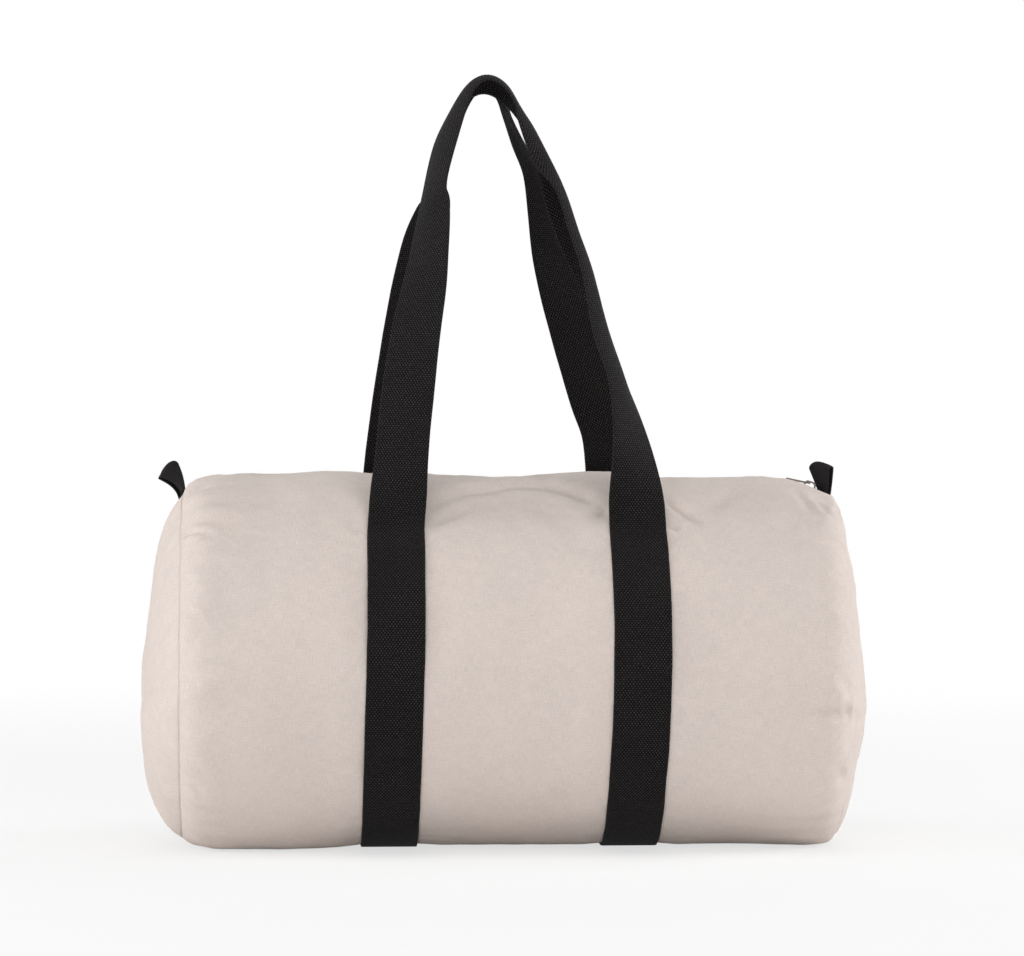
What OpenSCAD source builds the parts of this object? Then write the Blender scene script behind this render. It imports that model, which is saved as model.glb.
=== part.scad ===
// Cotton barrel bag with webbing handles and a zipped mouth along its top.
// Millimetres. X runs along the barrel, -Y is the front, Z is up and the bag stands on z = 0.

/* [Barrel] */
// Length of the barrel between its two end seams
barrel_len = 466; // [440:1:500]
// Depth of the filled barrel from front to back
barrel_w = 268; // [256:1:284]
// Height of the cloth from its underside to its top
barrel_h = 262.5; // [250:0.5:280]
// How far the round underside is pressed flat where the bag stands
belly_press = 4; // [2:0.5:8]
// Length over which the barrel draws in to each end seam
shoulder_len = 18; // [17.5:0.5:22]
// How much the barrel's radius draws in at each end seam
shoulder_drop = 12; // [8:0.5:16]
// How far the middle of an end panel swells past its seam
end_bulge = 29; // [20:1:36]
// How far the middle of an end panel hangs below the barrel's axis
end_sag = 20; // [0:1:30]
// Thickness of the cotton canvas with its lining folds
cloth_t = 1.2; // [0.8:0.1:1.6]
// Width of the binding tape inside each end seam
binding_w = 7; // [5:0.5:8]
// Thickness of the bound seam allowance
binding_t = 1.3; // [0.8:0.1:2]

/* [Webbing] */
// Width of the black webbing
web_w = 40; // [36:1:44]
// Thickness of the black webbing
web_t = 1.8; // [1.2:0.1:2.4]
// Distance between the centre lines of the two straps
strap_spacing = 170; // [150:1:190]
// Angle from the top of the barrel down to the cross stitching of the straps
stitch_angle = 45; // [43:0.5:47]

/* [Handles] */
// Distance from the cross stitching to the middle of the handle's top bend
handle_reach = 325; // [300:1:350]
// How far a standing handle swells outwards at half its height
handle_swell = 7; // [6:0.5:9]
// Place of the top bend along the barrel, from the middle
handle_top_x = -15.4; // [-20:0.1:0]

/* [Mouth and zip] */
// Distance from each end seam to the end of the mouth; at the right the top slopes down from there
mouth_setback = 33; // [31:0.5:40]
// How deep the zip lies in the trough between its two cloth edges
zip_dip = 2.5; // [1.5:0.1:3.5]
// Angle from the top of the barrel down to the line that the mouth edges fold on
mouth_angle = 35; // [32:0.5:37]
// Width of the gap between the two mouth edges over the closed zip
zip_gap_w = 11.4; // [11:0.1:13]
// Full width of each zip tape
tape_w = 15; // [13:0.5:17]
// Thickness of the zip tape
tape_t = 0.5; // [0.4:0.1:0.8]
// Width of one row of zip teeth from its spine to the far end of its teeth
teeth_row_w = 3.6; // [3.2:0.1:4]
// How far the teeth of one row reach past the middle into the other row
teeth_mesh = 0.7; // [0.5:0.1:0.9]
// Distance from one tooth to the next in the same row
tooth_pitch = 4; // [3.5:0.1:5]
// Height of a row of teeth
teeth_h = 1.6; // [1.3:0.1:1.9]

/* [Slider] */
// Length of the slider's plates
slider_len = 13; // [11:0.5:13]
// Width of the slider's plates
slider_w = 9.2; // [8.9:0.1:10]
// Thickness of the slider's plates
slider_plate_t = 1; // [0.8:0.1:1.2]
// Distance along the zip from the right end seam to the slider's middle when the zip is closed
slider_setback = 15.6; // [15:0.1:18]
// Height of the bail that carries the pull
bail_h = 4.2; // [4:0.1:5]
// Length of the bail along the slider
bail_len = 9; // [8:0.5:10]
// Length of the pull from its eye to its tip
pull_len = 16; // [14:0.5:18]
// Width of the pull
pull_w = 6.5; // [6:0.1:7.5]
// Thickness of the pull
pull_t = 1.1; // [0.9:0.1:1.2]

/* [End tabs] */
// Height of a folded end tab above the seam
tab_h = 24; // [18:1:30]
// Width of the tape that an end tab is folded from
tab_w = 20; // [16:1:24]
// Thickness of that tape
tab_t = 1.1; // [0.8:0.1:1.4]
// Distance between the two layers of an end tab, middle to middle
tab_fold = 2.6; // [2:0.1:4]

/* [Hidden] */
$fn = 32;

cotton = [0.85, 0.80, 0.77];
black = [0.13, 0.12, 0.12];
natural_tape = [0.80, 0.76, 0.71];
teeth_white = [0.78, 0.74, 0.68];
metal = [0.62, 0.60, 0.57];

// Clearances
web_gap = 0.2;      // cloth to the webbing that lies on it
handle_gap = 0.3;   // strap to the foot of the handle over it
meet_gap = 0.2;     // each handle to the bag's middle, where the two lean together
fold_gap = 0.9;     // each side of a mouth edge's fold line
end_gap = 0.4;      // ends of the mouth edges to the cloth beside them
seam_gap = 0.2;     // body panel to the end panels
lay_gap = 0.2;      // between layers of cloth and tape that lie on each other
slide_gap = 0.3;    // all round what runs through the slider
tooth_gap = 0.35;   // between neighbouring teeth of the two rows

full_turn = 360;

// The barrel: an oval tube with a flat underside, drawn in towards each end seam
x_seam = barrel_len / 2;
under_z = web_t + web_gap;
half_w = barrel_w / 2;
half_h = (barrel_h + belly_press) / 2;
axis_z = under_z - belly_press + half_h;
mouth_half = x_seam - mouth_setback;

// The top slopes straight down to the right end seam. Places on that slope are given along it.
slope_angle = atan(shoulder_drop / mouth_setback);
slope_near = 10;
slope_far = 50;
trough_reach = 12;
function on_x(along) = mouth_half + (along - mouth_half) * cos(slope_angle);
slider_x = mouth_half + mouth_setback / cos(slope_angle) - slider_setback;

// Falls smoothly from 1 to 0 as the angle from the top goes from near to far
function fade(a, near, far) = let (b = min(a, full_turn - a), t = (b - near) / (far - near))
    (1 + cos(180 * min(max(t, 0), 1))) / 2;
function draw_in(x, a) = shoulder_drop * max(
    pow(max(0, (abs(x) - x_seam + shoulder_len) / shoulder_len), 2),
    fade(a, slope_near, slope_far) * (x - mouth_half) / mouth_setback);

// Point on the barrel: x along it, angle a from the top towards the front, offset o outwards
function skin(x, a, o) = let (r = o - draw_in(x, a) - zip_dip * fade(a, 0, trough_reach))
    [x, -(half_w + r) * sin(a), max(axis_z + (half_h + r) * cos(a), under_z - o)];

function arc_angle(size) = size / half_h * 180 / PI;
function steps(from, to, n) = [for (i = [0:n]) from + (to - from) * i / n];
function tail(list) = [for (i = [1:len(list) - 1]) list[i]];
function mirrored(list) = [for (i = [1:len(list)]) -list[len(list) - i]];

zip_edge_angle = asin(zip_gap_w / 2 / half_w);
trough_angle = mouth_angle + arc_angle(fold_gap);
flap_angle = mouth_angle - arc_angle(fold_gap);
around_n = 20;
flap_n = 6;
shoulder_n = 3;
hem_n = 2;

// Stations of the closed part of the wrap, from one zip edge round the underside to the other
wrap_angles = let (half = concat(steps(zip_edge_angle, trough_angle, flap_n),
        tail(steps(trough_angle, full_turn / 2, around_n))))
    concat(half, [for (i = [2:len(half)]) full_turn - half[len(half) - i]]);
binding_x = x_seam - seam_gap - binding_w;
shoulder_xs = concat([mouth_half + end_gap], steps(x_seam - shoulder_len, binding_x, shoulder_n),
    tail(steps(binding_x, x_seam, hem_n)));
wrap_xs = concat(mirrored(shoulder_xs), steps(-mouth_half / 2, mouth_half / 2, 2), shoulder_xs);

// Solid between two grids of points, out and in, with the cells that keep(i, j) names
module shell(out, in, keep) {
    nx = len(out);
    na = len(out[0]);
    pts = [for (g = [out, in]) for (row = g) for (p = row) p];
    function at(k, i, j) = (k * nx + i) * na + j;
    function has(i, j) = i >= 0 && j >= 0 && i < nx - 1 && j < na - 1 && keep(i, j);
    function quad(a, b, c, d) = [[a, b, c], [a, c, d]];
    faces = [for (i = [0:nx - 2]) for (j = [0:na - 2]) if (has(i, j)) each concat(
        quad(at(0, i, j), at(0, i + 1, j), at(0, i + 1, j + 1), at(0, i, j + 1)),
        quad(at(1, i, j), at(1, i, j + 1), at(1, i + 1, j + 1), at(1, i + 1, j)),
        has(i, j - 1) ? [] : quad(at(0, i, j), at(1, i, j), at(1, i + 1, j), at(0, i + 1, j)),
        has(i, j + 1) ? [] :
            quad(at(1, i, j + 1), at(0, i, j + 1), at(0, i + 1, j + 1), at(1, i + 1, j + 1)),
        has(i - 1, j) ? [] : quad(at(0, i, j), at(0, i, j + 1), at(1, i, j + 1), at(1, i, j)),
        has(i + 1, j) ? [] :
            quad(at(0, i + 1, j), at(1, i + 1, j), at(1, i + 1, j + 1), at(0, i + 1, j + 1)))];
    polyhedron(pts, faces);
}

// Layer that lies on the barrel between two offsets, over the given stations
module layer(xs, angles, o_in, o_out, keep = function(i, j) true) {
    shell([for (x = xs) [for (a = angles) skin(x, a, o_out)]],
        [for (x = xs) [for (a = angles) skin(x, a, o_in)]], keep);
}

// Strip with a rectangular section: each station is [middle, half width, half thickness]
module strip(stations) {
    n = len(stations);
    pts = [for (s = stations) each [s[0] - s[1] - s[2], s[0] + s[1] - s[2],
        s[0] + s[1] + s[2], s[0] - s[1] + s[2]]];
    faces = concat([[0, 1, 2], [0, 2, 3]],
        [for (i = [0:n - 2]) for (k = [0:3]) let (a = 4 * i + k, b = 4 * i + (k + 1) % 4)
            each k < 2 ? [[a, a + 4, b + 4], [a, b + 4, b]] : [[a, a + 4, b], [a + 4, b + 4, b]]],
        [let (e = 4 * (n - 1)) each [[e, e + 2, e + 1], [e, e + 3, e + 2]]]);
    polyhedron(pts, faces);
}

module front_and_back() {
    children();
    mirror([0, 1, 0]) children();
}

// Cloth

module body_panel() {
    cell_x = function(i) abs(wrap_xs[i] + wrap_xs[i + 1]) / 2;
    cell_a = function(j) let (a = (wrap_angles[j] + wrap_angles[j + 1]) / 2) min(a, full_turn - a);
    color(cotton)
    layer(wrap_xs, wrap_angles, -cloth_t, 0,
        function(i, j) cell_x(i) > mouth_half || cell_a(j) > mouth_angle);
}

module mouth_edge() {
    layer(steps(-mouth_half, mouth_half, 4), steps(zip_edge_angle, flap_angle, flap_n), -cloth_t, 0);
}

module front_mouth_edge() {
    color(cotton) mouth_edge();
}

module back_mouth_edge() {
    color(cotton) mirror([0, 1, 0]) mouth_edge();
}

// End panel: rings from the seam to the middle, which swells outwards and hangs a little low
ring_shares = [1, 0.97, 0.92, 0.82, 0.65, 0.42, 0.2, 0];
flat_swell_share = 0.65;
ring_n = 48;
function swell(t) = flat_swell_share * (1 - pow(t, 2)) + (1 - flat_swell_share) * (1 - pow(t, 8));
function dome(t, a, inset) = [x_seam + seam_gap + (end_bulge - inset) * swell(t),
    -(half_w - shoulder_drop - inset) * t * sin(a),
    axis_z - end_sag * (1 - pow(t, 2)) + (half_h - shoulder_drop - inset) * t * cos(a)];

module end_panel() {
    rings = len(ring_shares) - 1;
    sides = [0, cloth_t];
    pts = concat([for (inset = sides) for (r = [0:rings - 1]) for (k = [0:ring_n - 1])
            dome(ring_shares[r], full_turn * k / ring_n, inset)],
        [for (inset = sides) dome(0, 0, inset)]);
    function at(s, r, k) = (s * rings + r) * ring_n + k % ring_n;
    poles = [2 * rings * ring_n, 2 * rings * ring_n + 1];
    function flip(s, f) = s == 1 ? f : [f[0], f[2], f[1]];
    skins = [for (s = [0, 1]) for (k = [0:ring_n - 1]) each concat(
        [for (r = [0:rings - 2]) each [
            flip(s, [at(s, r, k), at(s, r, k + 1), at(s, r + 1, k + 1)]),
            flip(s, [at(s, r, k), at(s, r + 1, k + 1), at(s, r + 1, k)])]],
        [flip(s, [at(s, rings - 1, k), at(s, rings - 1, k + 1), poles[s]])])];
    rim = [for (k = [0:ring_n - 1]) each [
        [at(0, 0, k), at(1, 0, k + 1), at(1, 0, k)], [at(0, 0, k), at(0, 0, k + 1), at(1, 0, k + 1)]]];
    polyhedron(pts, concat(skins, rim));
}

module right_end_panel() {
    color(cotton) end_panel();
}

module left_end_panel() {
    color(cotton) mirror([1, 0, 0]) end_panel();
}

// Bound seam allowance: a band round the inside of the barrel, open where the zip tape passes
module seam_binding() {
    out_edge = x_seam - seam_gap;
    tape_pass = zip_edge_angle + arc_angle(tape_w);
    layer(concat([for (x = shoulder_xs) if (x >= binding_x && x < out_edge) x], [out_edge]),
        [for (a = wrap_angles) if (a > tape_pass && a < full_turn - tape_pass) a],
        -(cloth_t + lay_gap + binding_t), -(cloth_t + lay_gap));
}

module right_seam_binding() {
    color(cotton) seam_binding();
}

module left_seam_binding() {
    color(cotton) mirror([1, 0, 0]) seam_binding();
}

// Webbing

strap_x = strap_spacing / 2;

// One strap: from the front cross stitching, down round the underside and up to the back
module strap(x) {
    half = concat([stitch_angle], [for (a = wrap_angles) if (a > stitch_angle && a < full_turn / 2) a]);
    angles = concat(half, [full_turn / 2],
        [for (i = [1:len(half)]) full_turn - half[len(half) - i]]);
    layer([x - web_w / 2, x + web_w / 2], angles, web_gap, web_gap + web_t);
}

module left_strap() {
    color(black) strap(-strap_x);
}

module right_strap() {
    color(black) strap(strap_x);
}

// The handle stands on a line just outside the strap's upper end, and leans until the inner edges
// of both handles meet at the top
handle_foot = skin(0, stitch_angle, web_gap + web_t + handle_gap + web_t / 2);
handle_lean = acos((-handle_foot[1] - web_w / 2 - meet_gap) / handle_reach);
handle_up = [0, cos(handle_lean), sin(handle_lean)];
handle_in = [0, sin(handle_lean), -cos(handle_lean)];

// Centre line of each handle, up its left leg and down its right one. Each row holds the share of
// half the strap spacing across, the share of the handle's reach up, the turn of the webbing in
// degrees, and the share of its width by which its middle bows outwards.
front_left_shares = [[-0.98, 0, 0, 0], [-0.968, 0.043, 3, 0], [-0.933, 0.151, 21, 0.015],
    [-0.882, 0.285, 23, 0.015], [-0.808, 0.431, 30, 0.015], [-0.751, 0.511, 37, 0.025],
    [-0.698, 0.6, 47, 0.037], [-0.655, 0.692, 56, 0.055], [-0.639, 0.76, 67, 0.055],
    [-0.533, 0.876, 66, 0.065], [-0.412, 0.953, 73, 0.095], [-0.296, 0.989, 81, 0.155]];
front_right_shares = [[-0.061, 0.985, 87, 0.14], [0.058, 0.945, 84, 0.075],
    [0.111, 0.9, 77, 0.175], [0.216, 0.808, 79, 0.285], [0.329, 0.738, 103, 0.283],
    [0.434, 0.647, 100, 0.275], [0.56, 0.556, 90, 0.235], [0.721, 0.42, 69, 0.15],
    [0.842, 0.33, 66, 0.11], [0.932, 0.24, 54, 0.05], [0.982, 0.151, 36, 0.025],
    [1.005, 0.043, 5, 0], [1.008, 0, 0, 0]];
back_left_shares = [[-0.994, 0, 0, 0], [-0.989, 0.043, 1.7, 0], [-0.944, 0.203, 12, 0.01],
    [-0.809, 0.48, 27, 0.025], [-0.698, 0.643, 34, 0.04], [-0.608, 0.738, 50, 0.05],
    [-0.593, 0.782, 66, 0.05], [-0.544, 0.847, 68, 0.055], [-0.433, 0.935, 71, 0.08],
    [-0.294, 0.986, 81, 0.14]];
back_right_shares = [[-0.061, 0.983, 86, 0.11], [0.021, 0.938, 83, 0.05], [0.122, 0.875, 78, 0.09],
    [0.259, 0.806, 69, 0.1], [0.348, 0.712, 57, 0.09], [0.431, 0.621, 44, 0.065],
    [0.54, 0.528, 32, 0.04], [0.652, 0.436, 25, 0.025], [0.822, 0.296, 19, 0.015],
    [0.952, 0.202, 10, 0.01], [0.999, 0.043, 1.4, 0], [1, 0, 0, 0]];
top_turn = 86;
top_bow_share = 0.18;

function handle_path(left, right) = concat(
    [for (s = left) [s[0] * strap_x, s[1] * handle_reach, s[2], s[3] * web_w]],
    [[handle_top_x, handle_reach, top_turn, top_bow_share * web_w]],
    [for (s = right) [s[0] * strap_x, s[1] * handle_reach, s[2], s[3] * web_w]]);

// Smooth curve through a list of points, t counted in points
function pick(list, i) = list[min(max(i, 0), len(list) - 1)];
function smooth(list, t) = let (i = min(floor(t), len(list) - 2), u = t - i,
        a = pick(list, i - 1), b = list[i], c = list[i + 1], d = pick(list, i + 2))
    0.5 * (2 * b + (c - a) * u + (2 * a - 5 * b + 4 * c - d) * u * u
        + (3 * b - a - 3 * c + d) * u * u * u);
function unit(v) = v / norm(v);

// Webbing along a path. Its section is a flat arc whose chord shrinks as its middle bows out.
per_point = 2;
bow_n = 6;
arc_excess = 32 / 3;
function chord(bow) = (web_w + sqrt(pow(web_w, 2) - arc_excess * pow(bow, 2))) / 2;

module handle(path) {
    n = (len(path) - 1) * per_point;
    mid = [for (k = [0:n]) smooth(path, k / per_point)];
    function ahead(k) = unit(k == 0 ? [0, 1] : k == n ? [0, -1] : pick(mid, k + 1) - pick(mid, k - 1));
    function place(k, v, side) = let (p = mid[k], t = ahead(k),
        along = t[0] * [1, 0, 0] + t[1] * handle_up,
        flat = t[1] * [1, 0, 0] - t[0] * handle_up,
        across = cos(p[2]) * flat - sin(p[2]) * handle_in,
        out = cross(across, along),
        half = chord(p[3]) / 2,
        normal = unit(half * out + 2 * p[3] * v * across))
        handle_foot + p[0] * [1, 0, 0] + p[1] * handle_up
            - handle_swell * pow(sin(180 * p[1] / handle_reach), 2) * handle_in
            + v * half * across + p[3] * (1 - v * v) * out + side * web_t / 2 * normal;
    grids = [for (side = [1, -1]) [for (k = [0:n]) [for (v = steps(-1, 1, bow_n)) place(k, v, side)]]];
    shell(grids[0], grids[1], function(i, j) true);
}

module front_handle() {
    color(black) handle(handle_path(front_left_shares, front_right_shares));
}

module back_handle() {
    color(black) mirror([0, 1, 0]) handle(handle_path(back_left_shares, back_right_shares));
}

// Short stitches across each strap under the foot of the handle
stitch_n = 9;
stitch_len_share = 0.62;
stitch_t = 0.35;
stitch_edge = 3;
stitch_below = 3.5;

module cross_stitching() {
    a = stitch_angle + arc_angle(stitch_below);
    pitch = (web_w - 2 * stitch_edge) / stitch_n;
    for (x = [-strap_x, strap_x], k = [0:stitch_n - 1])
        translate(skin(x + (k + 0.5 - stitch_n / 2) * pitch, a, web_gap + web_t + lay_gap))
        rotate([a, 0, 0])
        translate([-pitch * stitch_len_share / 2, -stitch_t, 0])
            cube([pitch * stitch_len_share, 2 * stitch_t, stitch_t]);
}

module front_cross_stitching() {
    color(black) cross_stitching();
}

module back_cross_stitching() {
    color(black) mirror([0, 1, 0]) cross_stitching();
}

// Zip: tapes under the cloth edges, teeth on the tapes, level with the cloth

tape_top_o = -(cloth_t + lay_gap);
tape_inner_angle = arc_angle(lay_gap);
tape_outer_angle = arc_angle(tape_w);
tape_top_z = axis_z + half_h + tape_top_o - zip_dip;
teeth_z = tape_top_z + lay_gap;
slider_back = slider_x - slider_len / 2;
slider_front = slider_x + slider_len / 2;
split_x = slider_x + slider_len / 8;
zip_end_x = x_seam - 2 * seam_gap;
zip_end_xs = concat([for (x = shoulder_xs) if (x < zip_end_x) x], [zip_end_x]);

module tape(xs, inner) {
    shell([for (i = [0:len(xs) - 1]) [for (a = steps(inner[i], tape_outer_angle, 3))
            skin(xs[i], a, tape_top_o)]],
        [for (i = [0:len(xs) - 1]) [for (a = steps(inner[i], tape_outer_angle, 3))
            skin(xs[i], a, tape_top_o - tape_t)]], function(i, j) true);
}

module mouth_tape() {
    xs = [-mouth_half, mouth_half, on_x(split_x)];
    tape(xs, [for (x = xs) tape_inner_angle]);
}

module front_zip_tape() {
    color(natural_tape) mouth_tape();
}

module back_zip_tape() {
    color(natural_tape) mirror([0, 1, 0]) mouth_tape();
}

// Row of teeth on the front tape between two places; lead shifts the row half a pitch
tooth_w = tooth_pitch / 2 - tooth_gap;
spine_w = teeth_row_w - 2 * teeth_mesh - tooth_gap;

module teeth_row(from, to, lead) {
    first = ceil((from - lead) / tooth_pitch);
    last = floor((to - lead - tooth_w) / tooth_pitch);
    root_y = -(teeth_row_w - teeth_mesh - spine_w);
    comb = [for (k = [first:last]) let (x = lead + k * tooth_pitch) each
        [[x, root_y], [x, teeth_mesh], [x + tooth_w, teeth_mesh], [x + tooth_w, root_y]]];
    translate([0, 0, teeth_z]) linear_extrude(teeth_h)
        polygon(concat([[from, root_y - spine_w], [from, root_y]], comb,
            [[to, root_y], [to, root_y - spine_w]]));
}

half_pitch = tooth_pitch / 2;

// Turns what lies along the level zip down onto the slope at its right end
module on_slope() {
    translate([mouth_half, 0, tape_top_z]) rotate([0, slope_angle, 0])
    translate([-mouth_half, 0, -tape_top_z]) children();
}

module mouth_teeth(lead) {
    teeth_row(-mouth_half, mouth_half, lead);
    on_slope() teeth_row(mouth_half, split_x, lead);
}

module front_zip_teeth() {
    color(teeth_white) mouth_teeth(0);
}

module back_zip_teeth() {
    color(teeth_white) mirror([0, 1, 0]) mouth_teeth(half_pitch);
}

stop_len = 2.6;
stop_x = slider_front + lay_gap;
left_stop_x = -(mouth_half + 2 * end_gap + tooth_pitch);

// Ends of the zip that stay shut beyond the mouth
module left_zip_end() {
    xs = mirrored(zip_end_xs);
    color(natural_tape) front_and_back() tape(xs, [for (x = xs) tape_inner_angle]);
    color(teeth_white) {
        teeth_row(left_stop_x, -mouth_half - end_gap, 0);
        mirror([0, 1, 0]) teeth_row(left_stop_x, -mouth_half - end_gap, half_pitch);
    }
}

// At the closed end the tapes lie apart, on both sides of the slider's post
module right_zip_end() {
    post_pass = arc_angle(post_w / 2 + slide_gap);
    from = on_x(split_x) + end_gap;
    xs = [for (x = concat([from], zip_end_xs)) if (x >= from) x];
    color(natural_tape) front_and_back() tape(xs, [for (x = xs) post_pass]);
}

module zip_bottom_stop() {
    color(metal) translate([left_stop_x - lay_gap - stop_len, -slider_w / 3, teeth_z])
        cube([stop_len, slider_w * 2 / 3, teeth_h]);
}

module zip_top_stops() {
    y = post_w / 2 + 2 * slide_gap;
    color(metal) on_slope() front_and_back()
        translate([stop_x, -y - stop_len * 2 / 3, teeth_z]) cube([stop_len, stop_len * 2 / 3, teeth_h]);
}

// Slider: two plates joined by a post at the nose, flanges down to the tape, and the bail on top

post_w = 1.8;
post_len = 2;
top_plate_z = teeth_z + teeth_h + slide_gap;
low_plate_z = tape_top_z - tape_t - slide_gap - slider_plate_t;
bail_base_z = top_plate_z + slider_plate_t;
bail_t = 1.2;
bail_w = 1.8;
bail_n = 10;
bail_round = 0.6;
flange_t = (slider_w - 2 * (teeth_row_w - teeth_mesh + slide_gap)) / 2;

module slider_plate(z) {
    l = slider_len / 2;
    w = slider_w / 2;
    c = slider_w / 4;
    translate([slider_x, 0, z]) linear_extrude(slider_plate_t)
        polygon([[-l, -w + c / 2], [-l + c / 2, -w], [l - c, -w], [l, -w + c],
            [l, w - c], [l - c, w], [-l + c / 2, w], [-l, w - c / 2]]);
}

// Arch of the bail, seen from the front, as an even band between two half ovals
module bail() {
    function oval(l, h) = [for (k = [0:bail_n]) let (a = 180 * k / bail_n)
        [l / 2 * sign(cos(a)) * pow(abs(cos(a)), bail_round), h * pow(sin(a), bail_round)]];
    sunk = slider_plate_t / 2;
    inner = oval(bail_len - 2 * bail_t, sunk + bail_h - bail_t);
    translate([slider_x, bail_w / 2, bail_base_z - sunk]) rotate([90, 0, 0]) linear_extrude(bail_w)
        polygon(concat(oval(bail_len, sunk + bail_h), [for (k = [0:bail_n]) inner[bail_n - k]]));
}

module zip_slider() {
    flange_z = tape_top_z + slide_gap;
    color(metal) on_slope() {
        slider_plate(low_plate_z);
        slider_plate(top_plate_z);
        translate([slider_front - 1.5 * post_len, -post_w / 2, low_plate_z])
            cube([post_len, post_w, bail_base_z - low_plate_z]);
        front_and_back()
            translate([slider_back + slider_w / 4, slider_w / 2 - flange_t, flange_z])
                cube([slider_len - slider_w / 2, flange_t, bail_base_z - flange_z]);
        bail();
    }
}

// Pull: a short flat tag whose eye goes round the bail; it lies back on the slope
pull_eye_w = 3.2;
pull_eye_back = 4;
pull_eye_front = 0.8;
pull_rim = 1;
pull_axis_x = slider_x - bail_len / 2 + bail_t + pull_t;
pull_axis_z = bail_base_z + bail_h - bail_t - slide_gap - pull_t / 2;
pull_droop = 8;

module zip_pull() {
    r = pull_w / 2;
    color(metal) on_slope() translate([pull_axis_x, 0, pull_axis_z]) rotate([0, -pull_droop, 0])
    translate([0, 0, -pull_t / 2]) linear_extrude(pull_t) difference() {
        union() {
            translate([-pull_len + r, 0]) circle(r);
            translate([-pull_len + r, -r]) square([pull_len - r + pull_eye_front + pull_rim, 2 * r]);
        }
        translate([-pull_eye_back, -pull_eye_w / 2])
            square([pull_eye_back + pull_eye_front, pull_eye_w]);
        translate([-pull_len + r, 0]) circle(r / 2);
    }
}

// End tab: tape folded into a flat loop, which turns and leans as it rises from the seam
tab_n = 8;
tab_fold_n = 6;

module end_tab(lean, turn, past_seam, seat) {
    straight = tab_h - tab_fold / 2;
    path = concat([for (k = [0:tab_n]) [-tab_fold / 2, straight * k / tab_n]],
        [for (k = [1:tab_fold_n - 1]) let (a = 180 - 180 * k / tab_fold_n)
            [tab_fold / 2 * cos(a), straight + tab_fold / 2 * sin(a)]],
        [for (k = [0:tab_n]) [tab_fold / 2, straight * (1 - k / tab_n)]]);
    up = [sin(lean), 0, cos(lean)];
    out = [cos(lean), 0, -sin(lean)];
    foot = [x_seam + past_seam, 0, skin(x_seam, 0, seat + zip_dip)[2]];
    function place(p) = let (t = turn * p[1] / tab_h)
        foot + p[1] * up + p[0] * (cos(t) * out + sin(t) * [0, 1, 0]);
    mid = [for (p = path) place(p)];
    strip([for (k = [0:len(path) - 1])
        let (t = turn * path[k][1] / tab_h, across = cos(t) * [0, 1, 0] - sin(t) * out,
            ahead = unit(pick(mid, k + 1) - pick(mid, k - 1)))
        [mid[k], across * tab_w / 2, unit(cross(ahead, across)) * tab_t / 2]]);
}

left_tab_lean = 28;
right_tab_lean = -14;
left_tab_turn = -62;
right_tab_turn = 62;
left_tab_past_seam = 1.5;
right_tab_past_seam = 2;
left_tab_seat = -0.2;
right_tab_seat = 0.8;

module right_end_tab() {
    color(black) end_tab(right_tab_lean, right_tab_turn, right_tab_past_seam, right_tab_seat);
}

module left_end_tab() {
    color(black) mirror([1, 0, 0])
        end_tab(left_tab_lean, left_tab_turn, left_tab_past_seam, left_tab_seat);
}

body_panel();
front_mouth_edge();
back_mouth_edge();
left_end_panel();
right_end_panel();
left_seam_binding();
right_seam_binding();
left_strap();
right_strap();
front_handle();
back_handle();
front_cross_stitching();
back_cross_stitching();
front_zip_tape();
back_zip_tape();
front_zip_teeth();
back_zip_teeth();
left_zip_end();
right_zip_end();
zip_slider();
zip_pull();
zip_top_stops();
zip_bottom_stop();
left_end_tab();
right_end_tab();
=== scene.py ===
import math

import bpy
import numpy as np
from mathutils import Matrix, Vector


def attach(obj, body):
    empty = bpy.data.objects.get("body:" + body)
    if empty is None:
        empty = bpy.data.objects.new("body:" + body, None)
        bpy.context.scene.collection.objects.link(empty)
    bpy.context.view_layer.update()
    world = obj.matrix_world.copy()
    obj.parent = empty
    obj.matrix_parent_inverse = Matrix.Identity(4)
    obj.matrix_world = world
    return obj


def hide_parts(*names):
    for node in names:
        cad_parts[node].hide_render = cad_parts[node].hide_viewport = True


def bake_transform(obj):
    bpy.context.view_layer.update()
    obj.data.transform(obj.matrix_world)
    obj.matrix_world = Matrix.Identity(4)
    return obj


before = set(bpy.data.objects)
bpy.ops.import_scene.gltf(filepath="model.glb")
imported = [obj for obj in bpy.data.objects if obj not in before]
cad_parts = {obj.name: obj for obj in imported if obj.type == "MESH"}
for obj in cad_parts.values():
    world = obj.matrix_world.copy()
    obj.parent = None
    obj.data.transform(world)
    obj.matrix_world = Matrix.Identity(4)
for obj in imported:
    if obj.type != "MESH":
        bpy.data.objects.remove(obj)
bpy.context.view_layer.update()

# Lengths are in millimetres and angles in degrees, unless a name or a comment says otherwise
MM = 0.001
SIDES = {1: "front", -1: "back"}
ENDS = {True: "left", False: "right"}

# Camera, fitted to the outline of the photograph
LOOK_AT = (3.266, 0.0, 263.08)
AZIMUTH, ELEVATION, DISTANCE = -3.426, -0.153, 2723.9
FOCAL_PX, FRAME_PX, SENSOR = 3771.4, 1024, 36.0
CLIP_METRES = (0.05, 60)


def make_camera():
    a, e = math.radians(AZIMUTH), math.radians(ELEVATION)
    back = Vector((math.sin(a) * math.cos(e), -math.cos(a) * math.cos(e), math.sin(e)))
    data = bpy.data.cameras.new("camera")
    data.sensor_width = SENSOR
    data.lens = FOCAL_PX / FRAME_PX * SENSOR
    data.clip_start, data.clip_end = CLIP_METRES
    cam = bpy.data.objects.new("camera", data)
    bpy.context.collection.objects.link(cam)
    cam.location = (Vector(LOOK_AT) + back * DISTANCE) * MM
    cam.rotation_euler = back.to_track_quat("Z", "Y").to_euler()
    bpy.context.scene.camera = cam


make_camera()

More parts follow.
